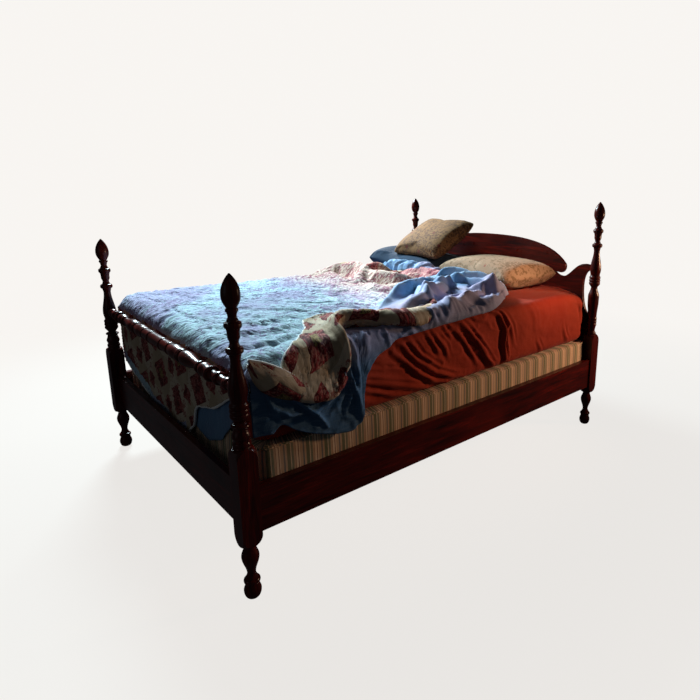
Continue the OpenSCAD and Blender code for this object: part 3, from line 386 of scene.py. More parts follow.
def patchwork_look():
    """The reverse: blocks with a dark red floral diamond and red corners on cream floral or plain fawn."""
    look = cloth_look("quilt_patchwork", 0.86, 0.06, 0.12)
    flat = look.flat()
    slanted = look.turned(flat, PATCH_TURN)
    across = [look.times_plus(look.part(slanted, k), 1 / PATCH, 0.9 - 0.5 * k) for k in (0, 1)]
    inside = [look.apart(look.math("FRACT", place), 0.5) for place in across]
    index = [look.math("FLOOR", place) for place in across]
    odd = look.math("ABSOLUTE", look.math("MODULO", look.plus(*index), 2.0))
    diamond = look.plus(*inside)
    corner = look.math("MINIMUM", *inside)
    sprays = look.noise(flat, 30, 3, 0.6, 0.8)
    petals = look.noise(flat, 115, 3, 0.65, 0.8)
    dark_red = look.tint(sprays, 0.4, 0.6, (0.09, 0.012, 0.014), (0.25, 0.02, 0.024))
    flecks = look.times_plus(sprays, 0.5, petals)
    red_print = look.tint(flecks, 0.76, 0.84, dark_red, (0.42, 0.19, 0.15), 0.75)
    bloom = look.times_plus(petals, 0.6, sprays)
    cream_floral = look.tint(bloom, 0.86, 0.92, (0.56, 0.46, 0.34), (0.28, 0.06, 0.05), 0.8)
    fawn = look.tint(look.noise(flat, 9, 2), 0.4, 0.7, (0.42, 0.32, 0.21), (0.50, 0.40, 0.28))
    gold_print = look.tint(petals, 0.45, 0.6, (0.33, 0.22, 0.08), (0.09, 0.05, 0.025))
    star = look.mix(odd, red_print, look.tint(diamond, 0.15, 0.155, gold_print, red_print))
    patch = look.tint(diamond, 0.40, 0.405, star, look.mix(odd, cream_floral, fawn))
    look.colour(look.tint(corner, 0.33, 0.335, patch, red_print))
    seam = look.apart(diamond, 0.4)
    look.bump(look.between(seam, 0.0, 0.03), 0.0015, look.bump(look.noise(flat, 45, 3, 0.6, 0.5), 0.003))
    return look.material


def floral_case_look(name, ground, shade, sprig, leaf, size, fullness):
    """A cotton case with wandering vines in fine leaves and a few blossoms, one in each cell of that size."""
    look = cloth_look(name, 0.85, 0.04, 0.12)
    place = look.place()
    tone = look.tint(look.noise(place, 6, 3), 0.3, 0.7, shade, ground)
    from_vine = look.apart(look.noise(place, 0.6 / size, 2, 0.5, 1.5), 0.5)
    fine = look.noise(place, 7 / size, 3, 0.6, 0.5)
    near = look.between(from_vine, 0.13 * fullness, 0.02 * fullness)
    printed = look.tint(look.plus(fine, look.times(near, 0.15)), 0.60, 0.66, tone, leaf, 0.85)
    away = look.plus(look.cells(place, 1 / size), look.times(fine, 0.3))
    look.colour(look.tint(away, 0.2 + 0.12 * fullness, 0.2 + 0.07 * fullness, printed, sprig, 0.9))
    look.bump(look.noise(place, 900, 1), 0.0002, look.bump(look.noise(place, 26, 4, 0.55, 0.5), 0.0014))
    return look.material


def plain_look(name, colour, roughness):
    look = Look(name, Roughness=roughness, Specular_IOR_Level=0.25)
    speck = look.noise(look.place(), 60, 3)
    look.colour(look.mix(look.times(speck, 0.2), colour, tuple(c * 0.8 for c in colour)))
    look.bump(look.noise(look.place(), 500, 2), 0.0003)
    return look.material


def quilted_white_look():
    """White mattress cloth sewn in diamonds."""
    look = cloth_look("mattress_damask", 0.7, 0.2, 0.5)
    diamonds = look.cells(look.turned(look.place(), 0.785), 14, 0.0, "Distance", feature="DISTANCE_TO_EDGE")
    look.colour(look.tint(diamonds, 0.0, 0.06, (0.62, 0.6, 0.55), (0.84, 0.82, 0.77)))
    look.bump(look.between(diamonds, 0.0, 0.3), 0.004)
    return look.material


def floor_look():
    """Pale and even: it takes a soft shadow near the bed and fades into the background further off."""
    look = Look("floor", Roughness=0.9, Specular_IOR_Level=0.0, Emission_Strength=1.0)
    away = look.add("VectorMath", {0: look.place()}, 1, operation="LENGTH")
    far = look.between(away, 1.2, 4.0)
    near = look.mix(look.noise(look.place(), 1.5, 2), (0.11, 0.105, 0.10), (0.10, 0.095, 0.09))
    look.colour(look.mix(far, near, (0.0, 0.0, 0.0)))
    look.put(look.mix(far, tuple(0.86 * c for c in PAPER), PAPER), look.shader.inputs["Emission Color"])
    return look.material


def dress(piece, *materials):
    # Clearing an empty list would still set every face back to the first material.
    if len(piece.data.materials):
        piece.data.materials.clear()
    for material in materials:
        piece.data.materials.append(material)


# ---------- shapes from arrays ----------


def metres(rows):
    """The millimetres of a table, however deep, in metres."""
    return [metres(row) for row in rows] if isinstance(rows, (list, tuple)) else rows / 1000


def stacked(*parts):
    return np.stack(np.broadcast_arrays(*parts), -1)


def smooth(t):
    t = np.clip(t, 0.0, 1.0)
    return t * t * (3 - 2 * t)


def along_points(at, stops):
    """A smooth line through (place, value) stops, level beyond its ends."""
    x, y = np.array(stops, float).T
    i = np.clip(np.searchsorted(x, at) - 1, 0, len(x) - 2)
    slope = np.gradient(y, x)
    h = x[i + 1] - x[i]
    t = np.clip((at - x[i]) / h, 0, 1)
    return ((2 * t**3 - 3 * t**2 + 1) * y[i] + (t**3 - 2 * t**2 + t) * h * slope[i]
            + (3 * t**2 - 2 * t**3) * y[i + 1] + (t**3 - t**2) * h * slope[i + 1])


NOISE_CELLS = 128


def value_noise(x, y, seed):
    """Smooth noise from -1 to 1 with one cell a unit."""
    table = np.random.default_rng(seed).uniform(-1, 1, (NOISE_CELLS, NOISE_CELLS))
    i, j = np.floor(x).astype(int), np.floor(y).astype(int)
    u, v = smooth(x - i), smooth(y - j)
    i0, i1, j0, j1 = (place % NOISE_CELLS for place in (i, i + 1, j, j + 1))
    low = table[i0, j0] * (1 - u) + table[i1, j0] * u
    high = table[i0, j1] * (1 - u) + table[i1, j1] * u
    return low * (1 - v) + high * v


def fractal(x, y, seed, octaves=3):
    return sum(value_noise(x * 2**k, y * 2**k, seed + k) / 2**k for k in range(octaves))


def fold(x, y, path, height, width, dip=0.45):
    """The rise of a fold along a path: a round ridge and a shallow valley on its right, faded at its ends."""
    best = np.full(x.shape, 1e9)
    signed = np.zeros(x.shape)
    place = np.zeros(x.shape)
    path = np.reshape(path, (-1, 2))
    steps = np.hypot(*np.diff(path, axis=0).T)
    start = np.concatenate([[0], np.cumsum(steps)])
    for (ax, ay), (bx, by), length, before in zip(path, path[1:], steps, start):
        t = np.clip(((x - ax) * (bx - ax) + (y - ay) * (by - ay)) / length**2, 0, 1)
        dx, dy = x - ax - t * (bx - ax), y - ay - t * (by - ay)
        away = np.hypot(dx, dy)
        side = np.sign((bx - ax) * dy - (by - ay) * dx)
        nearer = away < best
        best = np.where(nearer, away, best)
        signed = np.where(nearer, -side * away, signed)
        place = np.where(nearer, before + t * length, place)
    fade = np.sin(np.pi * np.clip(place / start[-1], 0.04, 0.96)) ** 0.6
    valley = np.exp(-(((signed - 1.6 * width) / width) ** 2))
    return height * fade * (np.exp(-((signed / width) ** 2)) - dip * valley)


def add_folds(rise, x, y, table, mask=1.0, high=1.0, wide=1.0, dip=0.45):
    """The rise with every fold of a table on it, where the mask lets them show."""
    for height, width, *path in table:
        rise = rise + mask * fold(x, y, path, high * height, wide * width, dip)
    return rise


def creases(x, y, size, seed, sharp=0.15):
    """Narrow ridges from 0 to 1 that wander like the creases of cotton that has been slept in."""
    x, y = x / size, y / size
    bent_x = x + 0.8 * value_noise(x * 0.6, y * 0.6, seed)
    bent_y = y + 0.8 * value_noise(x * 0.6 + 40, y * 0.6, seed + 1)
    return np.exp(-((value_noise(bent_x, bent_y, seed + 2) / sharp) ** 2))


def mesh_object(name, points, faces, uv=None):
    mesh = bpy.data.meshes.new(name)
    mesh.from_pydata([tuple(p) for p in points], [], [tuple(f) for f in faces])
    mesh.polygons.foreach_set("use_smooth", [True] * len(mesh.polygons))
    if uv is not None:
        corner = np.zeros(len(mesh.loops), int)
        mesh.loops.foreach_get("vertex_index", corner)
        mesh.uv_layers.new(name="flat").data.foreach_set("uv", np.asarray(uv, float)[corner].ravel())
    mesh.update()
    piece = bpy.data.objects.new(name, mesh)
    bpy.context.scene.collection.objects.link(piece)
    return piece


def points_of(mesh):
    place = np.empty(len(mesh.vertices) * 3)
    mesh.vertices.foreach_get("co", place)
    return place.reshape(-1, 3)


def put_points(piece, points):
    piece.data.vertices.foreach_set("co", points.ravel())
    piece.data.update()


def grid_faces(rows, columns, keep=None, closed=False):
    i, j = np.meshgrid(np.arange(rows - 1), np.arange(columns if closed else columns - 1), indexing="ij")
    if keep is not None:
        i, j = i[keep], j[keep]
    right = (j + 1) % columns
    low, high = i * columns, (i + 1) * columns
    return np.stack([low + j, low + right, high + right, high + j], -1).reshape(-1, 4)


def cloth_object(name, points, flat, keep=None):
    """An open cloth from a grid of points, rows from foot to head and columns from left to right."""
    rows, columns = points.shape[:2]
    return mesh_object(name, points.reshape(-1, 3), grid_faces(rows, columns, keep), flat.reshape(-1, 2))


def trim(piece, kind, test):
    """Deletes the piece's "verts" or "faces" that a test names."""
    shape = bmesh.new()
    shape.from_mesh(piece.data)
    chosen = [part for part in getattr(shape, kind) if test(part)]
    bmesh.ops.delete(shape, geom=chosen, context={"verts": "VERTS", "faces": "FACES_ONLY"}[kind])
    shape.to_mesh(piece.data)
    shape.free()


def thicken(piece, thickness, offset=0.0, **settings):
    modifier = piece.modifiers.new("thickness", "SOLIDIFY")
    modifier.thickness = thickness
    modifier.offset = offset
    for key, value in settings.items():
        setattr(modifier, key, value)


def unit(vectors):
    return vectors / np.linalg.norm(vectors, axis=1)[:, None]


def tube(name, path, radius, closed=False, sides=8):
    """A cord along points, with its flat coordinates along and round it."""
    path = np.array(path, float)
    if closed:
        ahead, behind = np.roll(path, -1, 0), np.roll(path, 1, 0)
    else:
        ahead = np.vstack([path[1:], 2 * path[-1] - path[-2]])
        behind = np.vstack([2 * path[0] - path[1], path[:-1]])
    tangent = unit(ahead - behind)
    side = unit(np.cross(tangent, [0.03, 0.05, 1.0]))
    up = np.cross(side, tangent)
    angle = np.arange(sides) * 2 * np.pi / sides
    ring = np.cos(angle)[None, :, None] * side[:, None] + np.sin(angle)[None, :, None] * up[:, None]
    points = path[:, None] + radius * ring
    last = (len(path) - 1) * sides
    faces = [tuple(f) for f in grid_faces(len(path), sides, closed=True)]
    if closed:
        faces += [(last + j, last + (j + 1) % sides, (j + 1) % sides, j) for j in range(sides)]
    else:
        faces += [tuple(range(sides))[::-1], tuple(last + j for j in range(sides))]
    run = np.concatenate([[0], np.cumsum(np.linalg.norm(np.diff(path, axis=0), axis=1))])
    flat = stacked(run[:, None], radius * angle[None, :])
    return mesh_object(name, points.reshape(-1, 3), faces, flat.reshape(-1, 2))


def join(name, *pieces):
    """One object from several, keeping each one's faces and flat coordinates."""
    bpy.ops.object.select_all(action="DESELECT")
    for piece in pieces:
        piece.select_set(True)
    bpy.context.view_layer.objects.active = pieces[0]
    bpy.ops.object.join()
    pieces[0].name = name
    return pieces[0]


def run_cloth(piece, frames, **values):
    """Runs Blender's Cloth on a piece, without gravity, and gives the places where its points end."""
    modifier = piece.modifiers.new("cloth", "CLOTH")
    for key, value in values.items():
        setattr(modifier.settings, key, value)
    modifier.settings.effector_weights.gravity = 0
    modifier.collision_settings.use_collision = False
    modifier.point_cache.frame_start = 1
    modifier.point_cache.frame_end = frames
    scene = bpy.context.scene
    for step in range(1, frames + 1):
        scene.frame_set(step)
    end = points_of(piece.evaluated_get(bpy.context.evaluated_depsgraph_get()).data)
    piece.modifiers.remove(modifier)
    scene.frame_set(1)
    return end


# ---------- padded blocks ----------

# The four corners of a block in plan, anticlockwise, and the outward direction of the side after each.
CORNERS = [(1, 1), (-1, 1), (-1, -1), (1, -1)]
SIDES = [(0, 1), (-1, 0), (0, -1), (1, 0)]


class Block:
    """A block with rounded upright corners, as rings of points.

    counts says how many points a ring has on a side across the bed, on a side along it and at a corner."""

    def __init__(self, low, high, corner, counts=(90, 120, 12), inset=0.0):
        self.centre_y = (low[1] + high[1]) / 2
        self.half_x, self.half_y = (high - low)[:2] / 2 - inset
        self.corner = corner
        self.counts = counts
        outer, _ = self.ring(0.0)
        steps = np.linalg.norm(np.roll(outer, -1, 0) - outer, axis=1)
        self.along = np.concatenate([[0], np.cumsum(steps)[:-1]])

    def ring(self, inset):
        """The ring's points in plan and their outward directions, anticlockwise from the right side."""
        n_x, n_y, n_corner = self.counts
        corner = max(self.corner - inset, 0.002)
        reach = (self.half_x - inset - corner, self.half_y - inset - corner)
        points, outward = [], []
        for k in range(4):
            angle = np.radians(90 * k + 90 * np.arange(n_corner) / n_corner)
            out = np.stack([np.cos(angle), np.sin(angle)], -1)
            centre = np.array(CORNERS[k]) * reach
            after = np.array(CORNERS[(k + 1) % 4]) * reach
            points.append(centre + corner * out)
            outward.append(out)
            n = n_y if k % 2 else n_x
            t = (np.arange(n) / n)[:, None]
            out = np.array(SIDES[k], float)
            points.append(centre * (1 - t) + after * t + corner * out)
            outward.append(np.repeat(out[None], n, 0))
        points = np.vstack(points)
        points[:, 1] += self.centre_y
        return points, np.vstack(outward)

    def solid(self, name, profile, relief=None):
        """profile is a list of (inset, height); relief(points, outward) says how far points move outward."""
        rings, flats = [], []
        run = 0.0
        last = profile[0]
        for inset, z in profile:
            plan, outward = self.ring(inset)
            points = np.column_stack([plan, np.full(len(plan), z)])
            run += math.hypot(inset - last[0], z - last[1])
            last = (inset, z)
            if relief is not None:
                points[:, :2] += outward * relief(points, outward)[:, None]
            rings.append(points)
            flats.append(np.column_stack([self.along, np.full(len(plan), run)]))
        n = len(rings[0])
        faces = [tuple(f) for f in grid_faces(len(rings), n, closed=True)]
        faces += [tuple(range(n))[::-1], tuple(range((len(rings) - 1) * n, len(rings) * n))]
        return mesh_object(name, np.vstack(rings), faces, np.vstack(flats))


def quarter_round(inset0, z0, inset1, z1, level_first, steps):
    """A quarter round between two places of a profile, which leaves the first one level or else upright."""
    t = np.linspace(0, np.pi / 2, steps)
    if level_first:
        return [(inset0 + (inset1 - inset0) * math.sin(a), z0 + (z1 - z0) * (1 - math.cos(a))) for a in t]
    return [(inset0 + (inset1 - inset0) * (1 - math.cos(a)), z0 + (z1 - z0) * math.sin(a)) for a in t]


def node_span(name):
    low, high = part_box(name)
    return np.array(low), np.array(high)


# ---------- box spring ----------

TICKING_CORNER = 0.038
TICKING_EDGE = 0.014
TICKING_IN = 0.0005
BOX_PIPING = 0.0032
BOX_PIPING_IN = 0.004


def box_spring():
    low, high = node_span("box_spring_cover")
    half = (high - low) / 2
    middle = (low[2] + high[2]) / 2
    block = Block(low, high, TICKING_CORNER)
    edge = TICKING_EDGE
    profile = quarter_round(edge, low[2] + TICKING_IN, 0.0, low[2] + edge, True, 5)
    profile += [(0.0, z) for z in np.linspace(low[2] + edge, high[2] - edge, 16)[1:-1]]
    profile += quarter_round(0.0, high[2] - edge, edge, high[2] - TICKING_IN, False, 5)
    profile += [(inset, high[2] - TICKING_IN) for inset in (0.05, 0.2, 0.4, half[0] - 0.03)]

    def relief(p, out):
        swell = 0.0045 * (1 - ((p[:, 2] - middle) / (half[2] + 0.01)) ** 2)
        return swell + 0.0012 * fractal(p[:, 0] * 9 + p[:, 1] * 9, p[:, 2] * 7, 11)

    cover = block.solid("box_spring_ticking", profile, relief)
    cords = []
    for name, z in (("lower", low[2] + BOX_PIPING_IN), ("upper", high[2] - BOX_PIPING_IN)):
        plan, out = block.ring(0.0)
        wobble = 0.0008 * fractal(block.along * 6, block.along * 0, 5)
        path = np.column_stack([plan + out * 0.002, z + wobble])
        cords.append(tube(f"box_spring_{name}_piping", path, BOX_PIPING, closed=True))
    return cover, cords


# ---------- mattress and fitted sheet ----------

MATTRESS_CORNER = 0.075
MATTRESS_EDGE = 0.0466
CROWN = 0.012
BODY_IN = 0.012
FITTED_T = 0.0012
FITTED_HEM_IN = 0.11
CORNER_SAG = 0.030

# Folds of the fitted sheet on its right side. A row of a table of folds is a height, a half width, and then
# the two coordinates of each point of the path, here y and z.
SHEET_FOLDS = metres([
    (13, 15, -600, 620, -510, 600, -370, 555, -200, 500, -60, 485, 50, 484),
    (16, 13, -380, 680, -315, 630, -255, 575, -185, 530, -90, 500, 60, 490),
    (14, 11, -370, 730, -340, 705, -270, 635, -165, 560, -70, 520, 50, 495),
    (9, 11, -310, 730, -290, 705, -240, 640, -155, 580),
    (9, 10, -220, 740, -200, 710, -165, 665, -140, 620),
    (8, 10, -175, 720, -110, 650, -90, 600),
    (8, 9, -120, 745, -105, 720, -70, 680),
    (10, 12, -70, 730, 15, 640, 60, 580, 95, 530),
    (17, 13, -50, 760, -15, 740, 55, 665, 115, 600, 185, 520, 205, 490),
    (10, 12, 50, 640, 160, 530, 220, 495),
    (11, 10, 40, 765, 80, 735, 125, 725, 160, 740),
    (20, 13, 170, 765, 230, 735, 268, 665, 262, 590, 280, 530, 280, 485),
    (8, 13, 240, 760, 265, 730, 315, 660, 345, 575),
    (11, 11, -530, 575, -375, 515, -240, 487),
    (9, 9, 270, 520, 320, 495, 380, 505),
    (6, 10, 520, 560, 545, 520, 570, 490),
    (6, 12, 740, 600, 765, 540, 800, 500),
    (6, 14, 880, 730, 910, 650, 930, 560),
    (4, 20, 450, 760, 500, 680, 510, 600),
])


def mattress_profile(low, high, off, hem=None):
    """The mattress's section from under its lower edge, round its border, to the middle of its top."""
    edge = MATTRESS_EDGE + off
    bottom = low[2] - off
    top = high[2] - CROWN + off
    half_x = (high[0] - low[0]) / 2
    under = [(0.6, bottom), (0.3, bottom), (0.16, bottom)] if hem is None else [(hem, bottom + 0.0004)]
    profile = under + [(edge + 0.02, bottom)] + quarter_round(edge, bottom, 0.0, bottom + edge, True, 8)
    profile += [(0.0, z) for z in np.linspace(bottom + edge, top - edge, 38)[1:-1]]
    profile += quarter_round(0.0, top - edge, edge, top, False, 9)
    for q in (0.03, 0.08, 0.15, 0.25, 0.4, 0.6, 0.85, 0.97):
        profile.append((edge + q * (half_x - edge), top + CROWN * (1 - (1 - q) ** 2)))
    return profile


def sheet_relief(p, out):
    """Folds and creases on the right side, shallow ones elsewhere, and puckers along the upper edge."""
    x, y, z = p.T
    rise = 0.0022 * fractal((x + y) * 7, z * 5, 21)
    right = smooth((out[:, 0] - 0.5) / 0.4)
    slack = smooth((z - 0.47) / 0.03)
    for height, width, *path in SHEET_FOLDS:
        rise += right * slack * fold(y, z, path, 0.85 * height, 0.9 * width, 0.7)
        rise += right * slack * fold(y - 0.024, z - 0.016, path, 0.4 * height, 0.55 * width, 0.7)
    fine = creases(0.34 * y - 0.09 * z, 0.3 * y + 1.2 * z, 0.04, 31, 0.2)
    rise += right * slack * 0.0035 * fine * smooth((0.4 - y) / 0.3)
    rise += right * slack * 0.0020 * fractal(y * 14 + z * 10, z * 16 - y * 5, 31)
    creased = 0.004 * fractal((x + y) * 3.2 + z * 4, z * 9 - (x + y) * 2, 41)
    rise += (1 - right) * slack * creased
    pucker = smooth((z - 0.735) / 0.02) * smooth((0.775 - z) / 0.01)
    rise += 0.002 * pucker * np.sin((x + y) * 150 + 3 * value_noise((x + y) * 9, z * 0, 3))
    return np.maximum(rise, 0.004 - BODY_IN)


def sag_corner(piece):
    """Softens the mattress's corner by the right head post, where its top edge gives way."""
    points = points_of(piece.data)
    x, y, z = points.T
    near = smooth((x - 0.50) / 0.19) * smooth((y - 0.74) / 0.22) * smooth((z - 0.62) / 0.13)
    points[:, 2] -= CORNER_SAG * near
    put_points(piece, points)


def mattress_pieces():
    low, high = node_span("fitted_sheet")
    block = Block(low, high, MATTRESS_CORNER, (170, 330, 14))
    sheet = block.solid("fitted_sheet_cloth", mattress_profile(low, high, 0.0, FITTED_HEM_IN), sheet_relief)
    # The sheet is open below: its first ring is the elastic hem, so the lower cap goes.
    trim(sheet, "faces", lambda face: len(face.verts) > 4 and face.calc_center_median().z < low[2] + 0.01)
    thicken(sheet, FITTED_T, -1.0)
    core = Block(low, high, MATTRESS_CORNER - BODY_IN, (40, 60, 8), BODY_IN)
    mattress = core.solid("mattress_body", mattress_profile(low, high, -0.003))
    sag_corner(sheet)
    sag_corner(mattress)
    return sheet, mattress


# ---------- cloth laid over the mattress ----------

CORNER_RUN = 0.061
SHEET_OFF = 0.004
SHEET_T = 0.0015
QUILT_T = 0.008
QUILT_OFF = 0.016
FOOT_GAP = 0.0225
SIM_FRAMES = 14
MOST_SLIDE = 0.006


class Bed:
    """The sheeted mattress as something cloth lies on."""

    def __init__(self):
        low, high = node_span("fitted_sheet")
        self.edge = MATTRESS_EDGE
        self.top = high[2] - CROWN
        self.middle_y = (low[1] + high[1]) / 2
        self.flat_x = (high[0] - low[0]) / 2 - self.edge
        self.flat_y = (high[1] - low[1]) / 2 - self.edge
        self.foot = self.middle_y - self.flat_y
        self.arc = np.pi / 2 * self.edge
        self.border = self.flat_x + self.arc

    def crown(self, x, y):
        inward = np.minimum(self.flat_x - abs(x), self.flat_y - abs(y - self.middle_y))
        return CROWN * (1 - (1 - np.clip(inward / self.flat_x, 0, 1)) ** 2)

    def rows(self, count, foot_count, head):
        """The y of a cloth's rows up to its head. The first ones start at the foot edge, to be let down."""
        on_top = np.linspace(self.foot, head, count - foot_count)
        return np.concatenate([np.full(foot_count, self.foot), on_top])[:, None]

    def fallen(self, y):
        """How far a point hangs below the rounded foot edge."""
        return np.maximum(self.foot - y - self.arc, 0)

    def at_foot(self, y):
        """0 on top of the bed, 1 on its foot end."""
        return smooth((self.foot - y) / self.arc)

    def lay(self, s, y, off):
        """The point s across from the middle, and on down the border, at y, and on down the foot end where y
        runs past it, standing off proud of the mattress. Gives the points and the outward directions."""
        beyond = np.abs(s) - self.flat_x
        past = self.foot - y
        a = np.pi / 2 * np.clip(beyond / self.arc, 0, 1)
        b = np.pi / 2 * np.clip(past / self.arc, 0, 1)
        side = np.where(s < 0, -1, 1)
        out = stacked(side * np.sin(a), -np.cos(a) * np.sin(b), np.cos(a) * np.cos(b))
        drop = np.maximum(np.maximum(beyond, past) - self.arc, 0)
        x = side * np.minimum(np.abs(s), self.flat_x)
        z = self.top - self.edge - drop + self.crown(s, y)
        # The side part runs on past the foot's edge, to the mattress's corner.
        along = np.maximum(y, self.foot) - np.clip(past, 0, CORNER_RUN) * (1 - np.cos(a))
        return stacked(x, along, z) + (self.edge + off)[..., None] * out, out


bed = Bed()


def let_down(y, fall, foot_count):
    """Lowers the first rows of a cloth down the foot end, the lowest one by the whole fall."""
    y[:foot_count] -= fall[:foot_count] * np.linspace(1, 0, foot_count + 1)[:-1, None]


def wrinkle(piece, wider, hold, inward, outward, directions, frames=SIM_FRAMES):
    """Lets a cloth that was cut wider than its place buckle in it, then keeps the move within limits.

    wider is how much wider it was cut along x, y and z, hold from 0, free, to 1, stuck, and directions the
    outward direction of each point."""
    place = points_of(piece.data)
    put_points(piece, place * wider)
    piece.shape_key_add(name="cut")
    laid = piece.shape_key_add(name="laid")
    laid.data.foreach_set("co", place.ravel())
    for value, frame_number in ((0, 1), (1, frames - 4)):
        laid.value = value
        laid.keyframe_insert("value", frame=frame_number)
    group = piece.vertex_groups.new(name="hold")
    level = np.round(hold, 1)
    for value in np.unique(level):
        group.add(np.nonzero(level == value)[0].tolist(), float(value), "REPLACE")
    end = run_cloth(piece, frames, quality=5, mass=0.15, tension_stiffness=15, compression_stiffness=15,
                    shear_stiffness=5, bending_stiffness=0.05, vertex_group_mass="hold", pin_stiffness=3)
    piece.shape_key_clear()
    piece.animation_data_clear()
    piece.data.animation_data_clear()
    piece.vertex_groups.clear()
    move = end - place
    up = (move * directions).sum(1)
    kept = np.where(up < 0, -inward * np.tanh(-up / inward), outward * np.tanh(up / outward))
    slide = move - up[:, None] * directions
    slide *= np.minimum(1, MOST_SLIDE / np.maximum(np.linalg.norm(slide, axis=1), 1e-9))[:, None]
    put_points(piece, place + slide + kept[:, None] * directions)


# ---------- quilt ----------

# The quilt's near edge is folded back on itself. By y: where the fold is, how much is turned back, and the
# fold's radius.
FOLD_PLACE = metres([
    (-940, 732), (-890, 746), (-840, 774), (-790, 804), (-717, 822), (-660, 812), (-630, 775), (-605, 700),
    (-580, 635), (-550, 600), (-520, 590), (-480, 600), (-430, 630), (-360, 660), (-280, 675), (-200, 675),
    (-100, 665), (0, 635), (70, 590), (140, 540), (250, 450), (360, 360), (470, 280),
])
FOLD_BACK = metres([
    (-940, 20), (-860, 30), (-845, 62), (-820, 98), (-797, 122), (-740, 175), (-690, 230), (-650, 260),
    (-610, 235), (-560, 165), (-500, 150), (-420, 140), (-300, 135), (-150, 130), (0, 110), (70, 80),
    (120, 30), (200, 12), (470, 12),
])
FOLD_RADIUS = metres([
    (-940, 7), (-850, 10), (-750, 16), (-640, 20), (-570, 30), (-480, 32), (-380, 29), (-200, 26), (-50, 28),
    (50, 29), (120, 14), (200, 7), (470, 7),
])
# The y of its head edge and the drop of its foot hem, by the distance across.
QUILT_HEAD = metres([
    (-950, 260), (-720, 300), (-550, 360), (-350, 440), (-150, 500), (50, 500), (200, 440), (360, 300),
    (500, 200), (750, 140),
])
QUILT_FOOT_HEM = metres([
    (-760, 230), (-550, 275), (-375, 330), (-200, 370), (-107, 385), (20, 388), (100, 370), (160, 330),
    (195, 300), (232, 235), (324, 190), (420, 165), (520, 110), (640, 50), (760, 0),
])
# Lumps of the quilt's head end.
QUILT_LUMPS = metres([
    (75, 45, -660, 160, -550, 250, -420, 270, -300, 220, -200, 120),
    (66, 38, -460, 330, -380, 370, -290, 410),
    (60, 35, -280, 260, -140, 200, 0, 220, 80, 300),
    (60, 35, -250, 450, -100, 470, 100, 450, 220, 380),
    (50, 30, -120, 340, 20, 380, 140, 340, 200, 240),
    (30, 30, 20, 120, 150, 160, 280, 150),
    (24, 40, -600, 120, -400, 80, -200, 20),
    (22, 25, -100, 100, 50, 40, 200, 60),
    (24, 30, 250, 20, 360, -60, 420, -200),
])
# Long soft folds by the near foot post and along the foot edge.
QUILT_FOLDS = metres([
    (7, 26, 360, -880, 420, -700, 400, -550),
    (5, 20, 220, -900, 300, -720, 300, -500),
    (9, 20, 520, -900, 550, -780, 500, -680),
    (5, 13, 100, -740, 280, -620, 440, -480),
    (5, 11, 300, -660, 400, -570, 500, -500),
    (4, 14, 0, -660, 200, -520, 360, -400),
    (4, 15, -100, -520, 80, -400, 220, -260),
    (5, 20, -500, -860, -300, -820, 100, -840),
    (4, 18, -620, -740, -400, -700, -150, -720),
])
QUILT_ROWS = 250
QUILT_COLUMNS = 250
QUILT_FOOT_ROWS = 46
QUILT_FAR_DROP = 0.19
QUILT_PIPING = 0.0042
FOOT_PIPING = 0.0052
PRINT_EVEN_ROWS = 30


def head_edge(s):
    return along_points(np.clip(s, -0.9, 0.75), QUILT_HEAD)


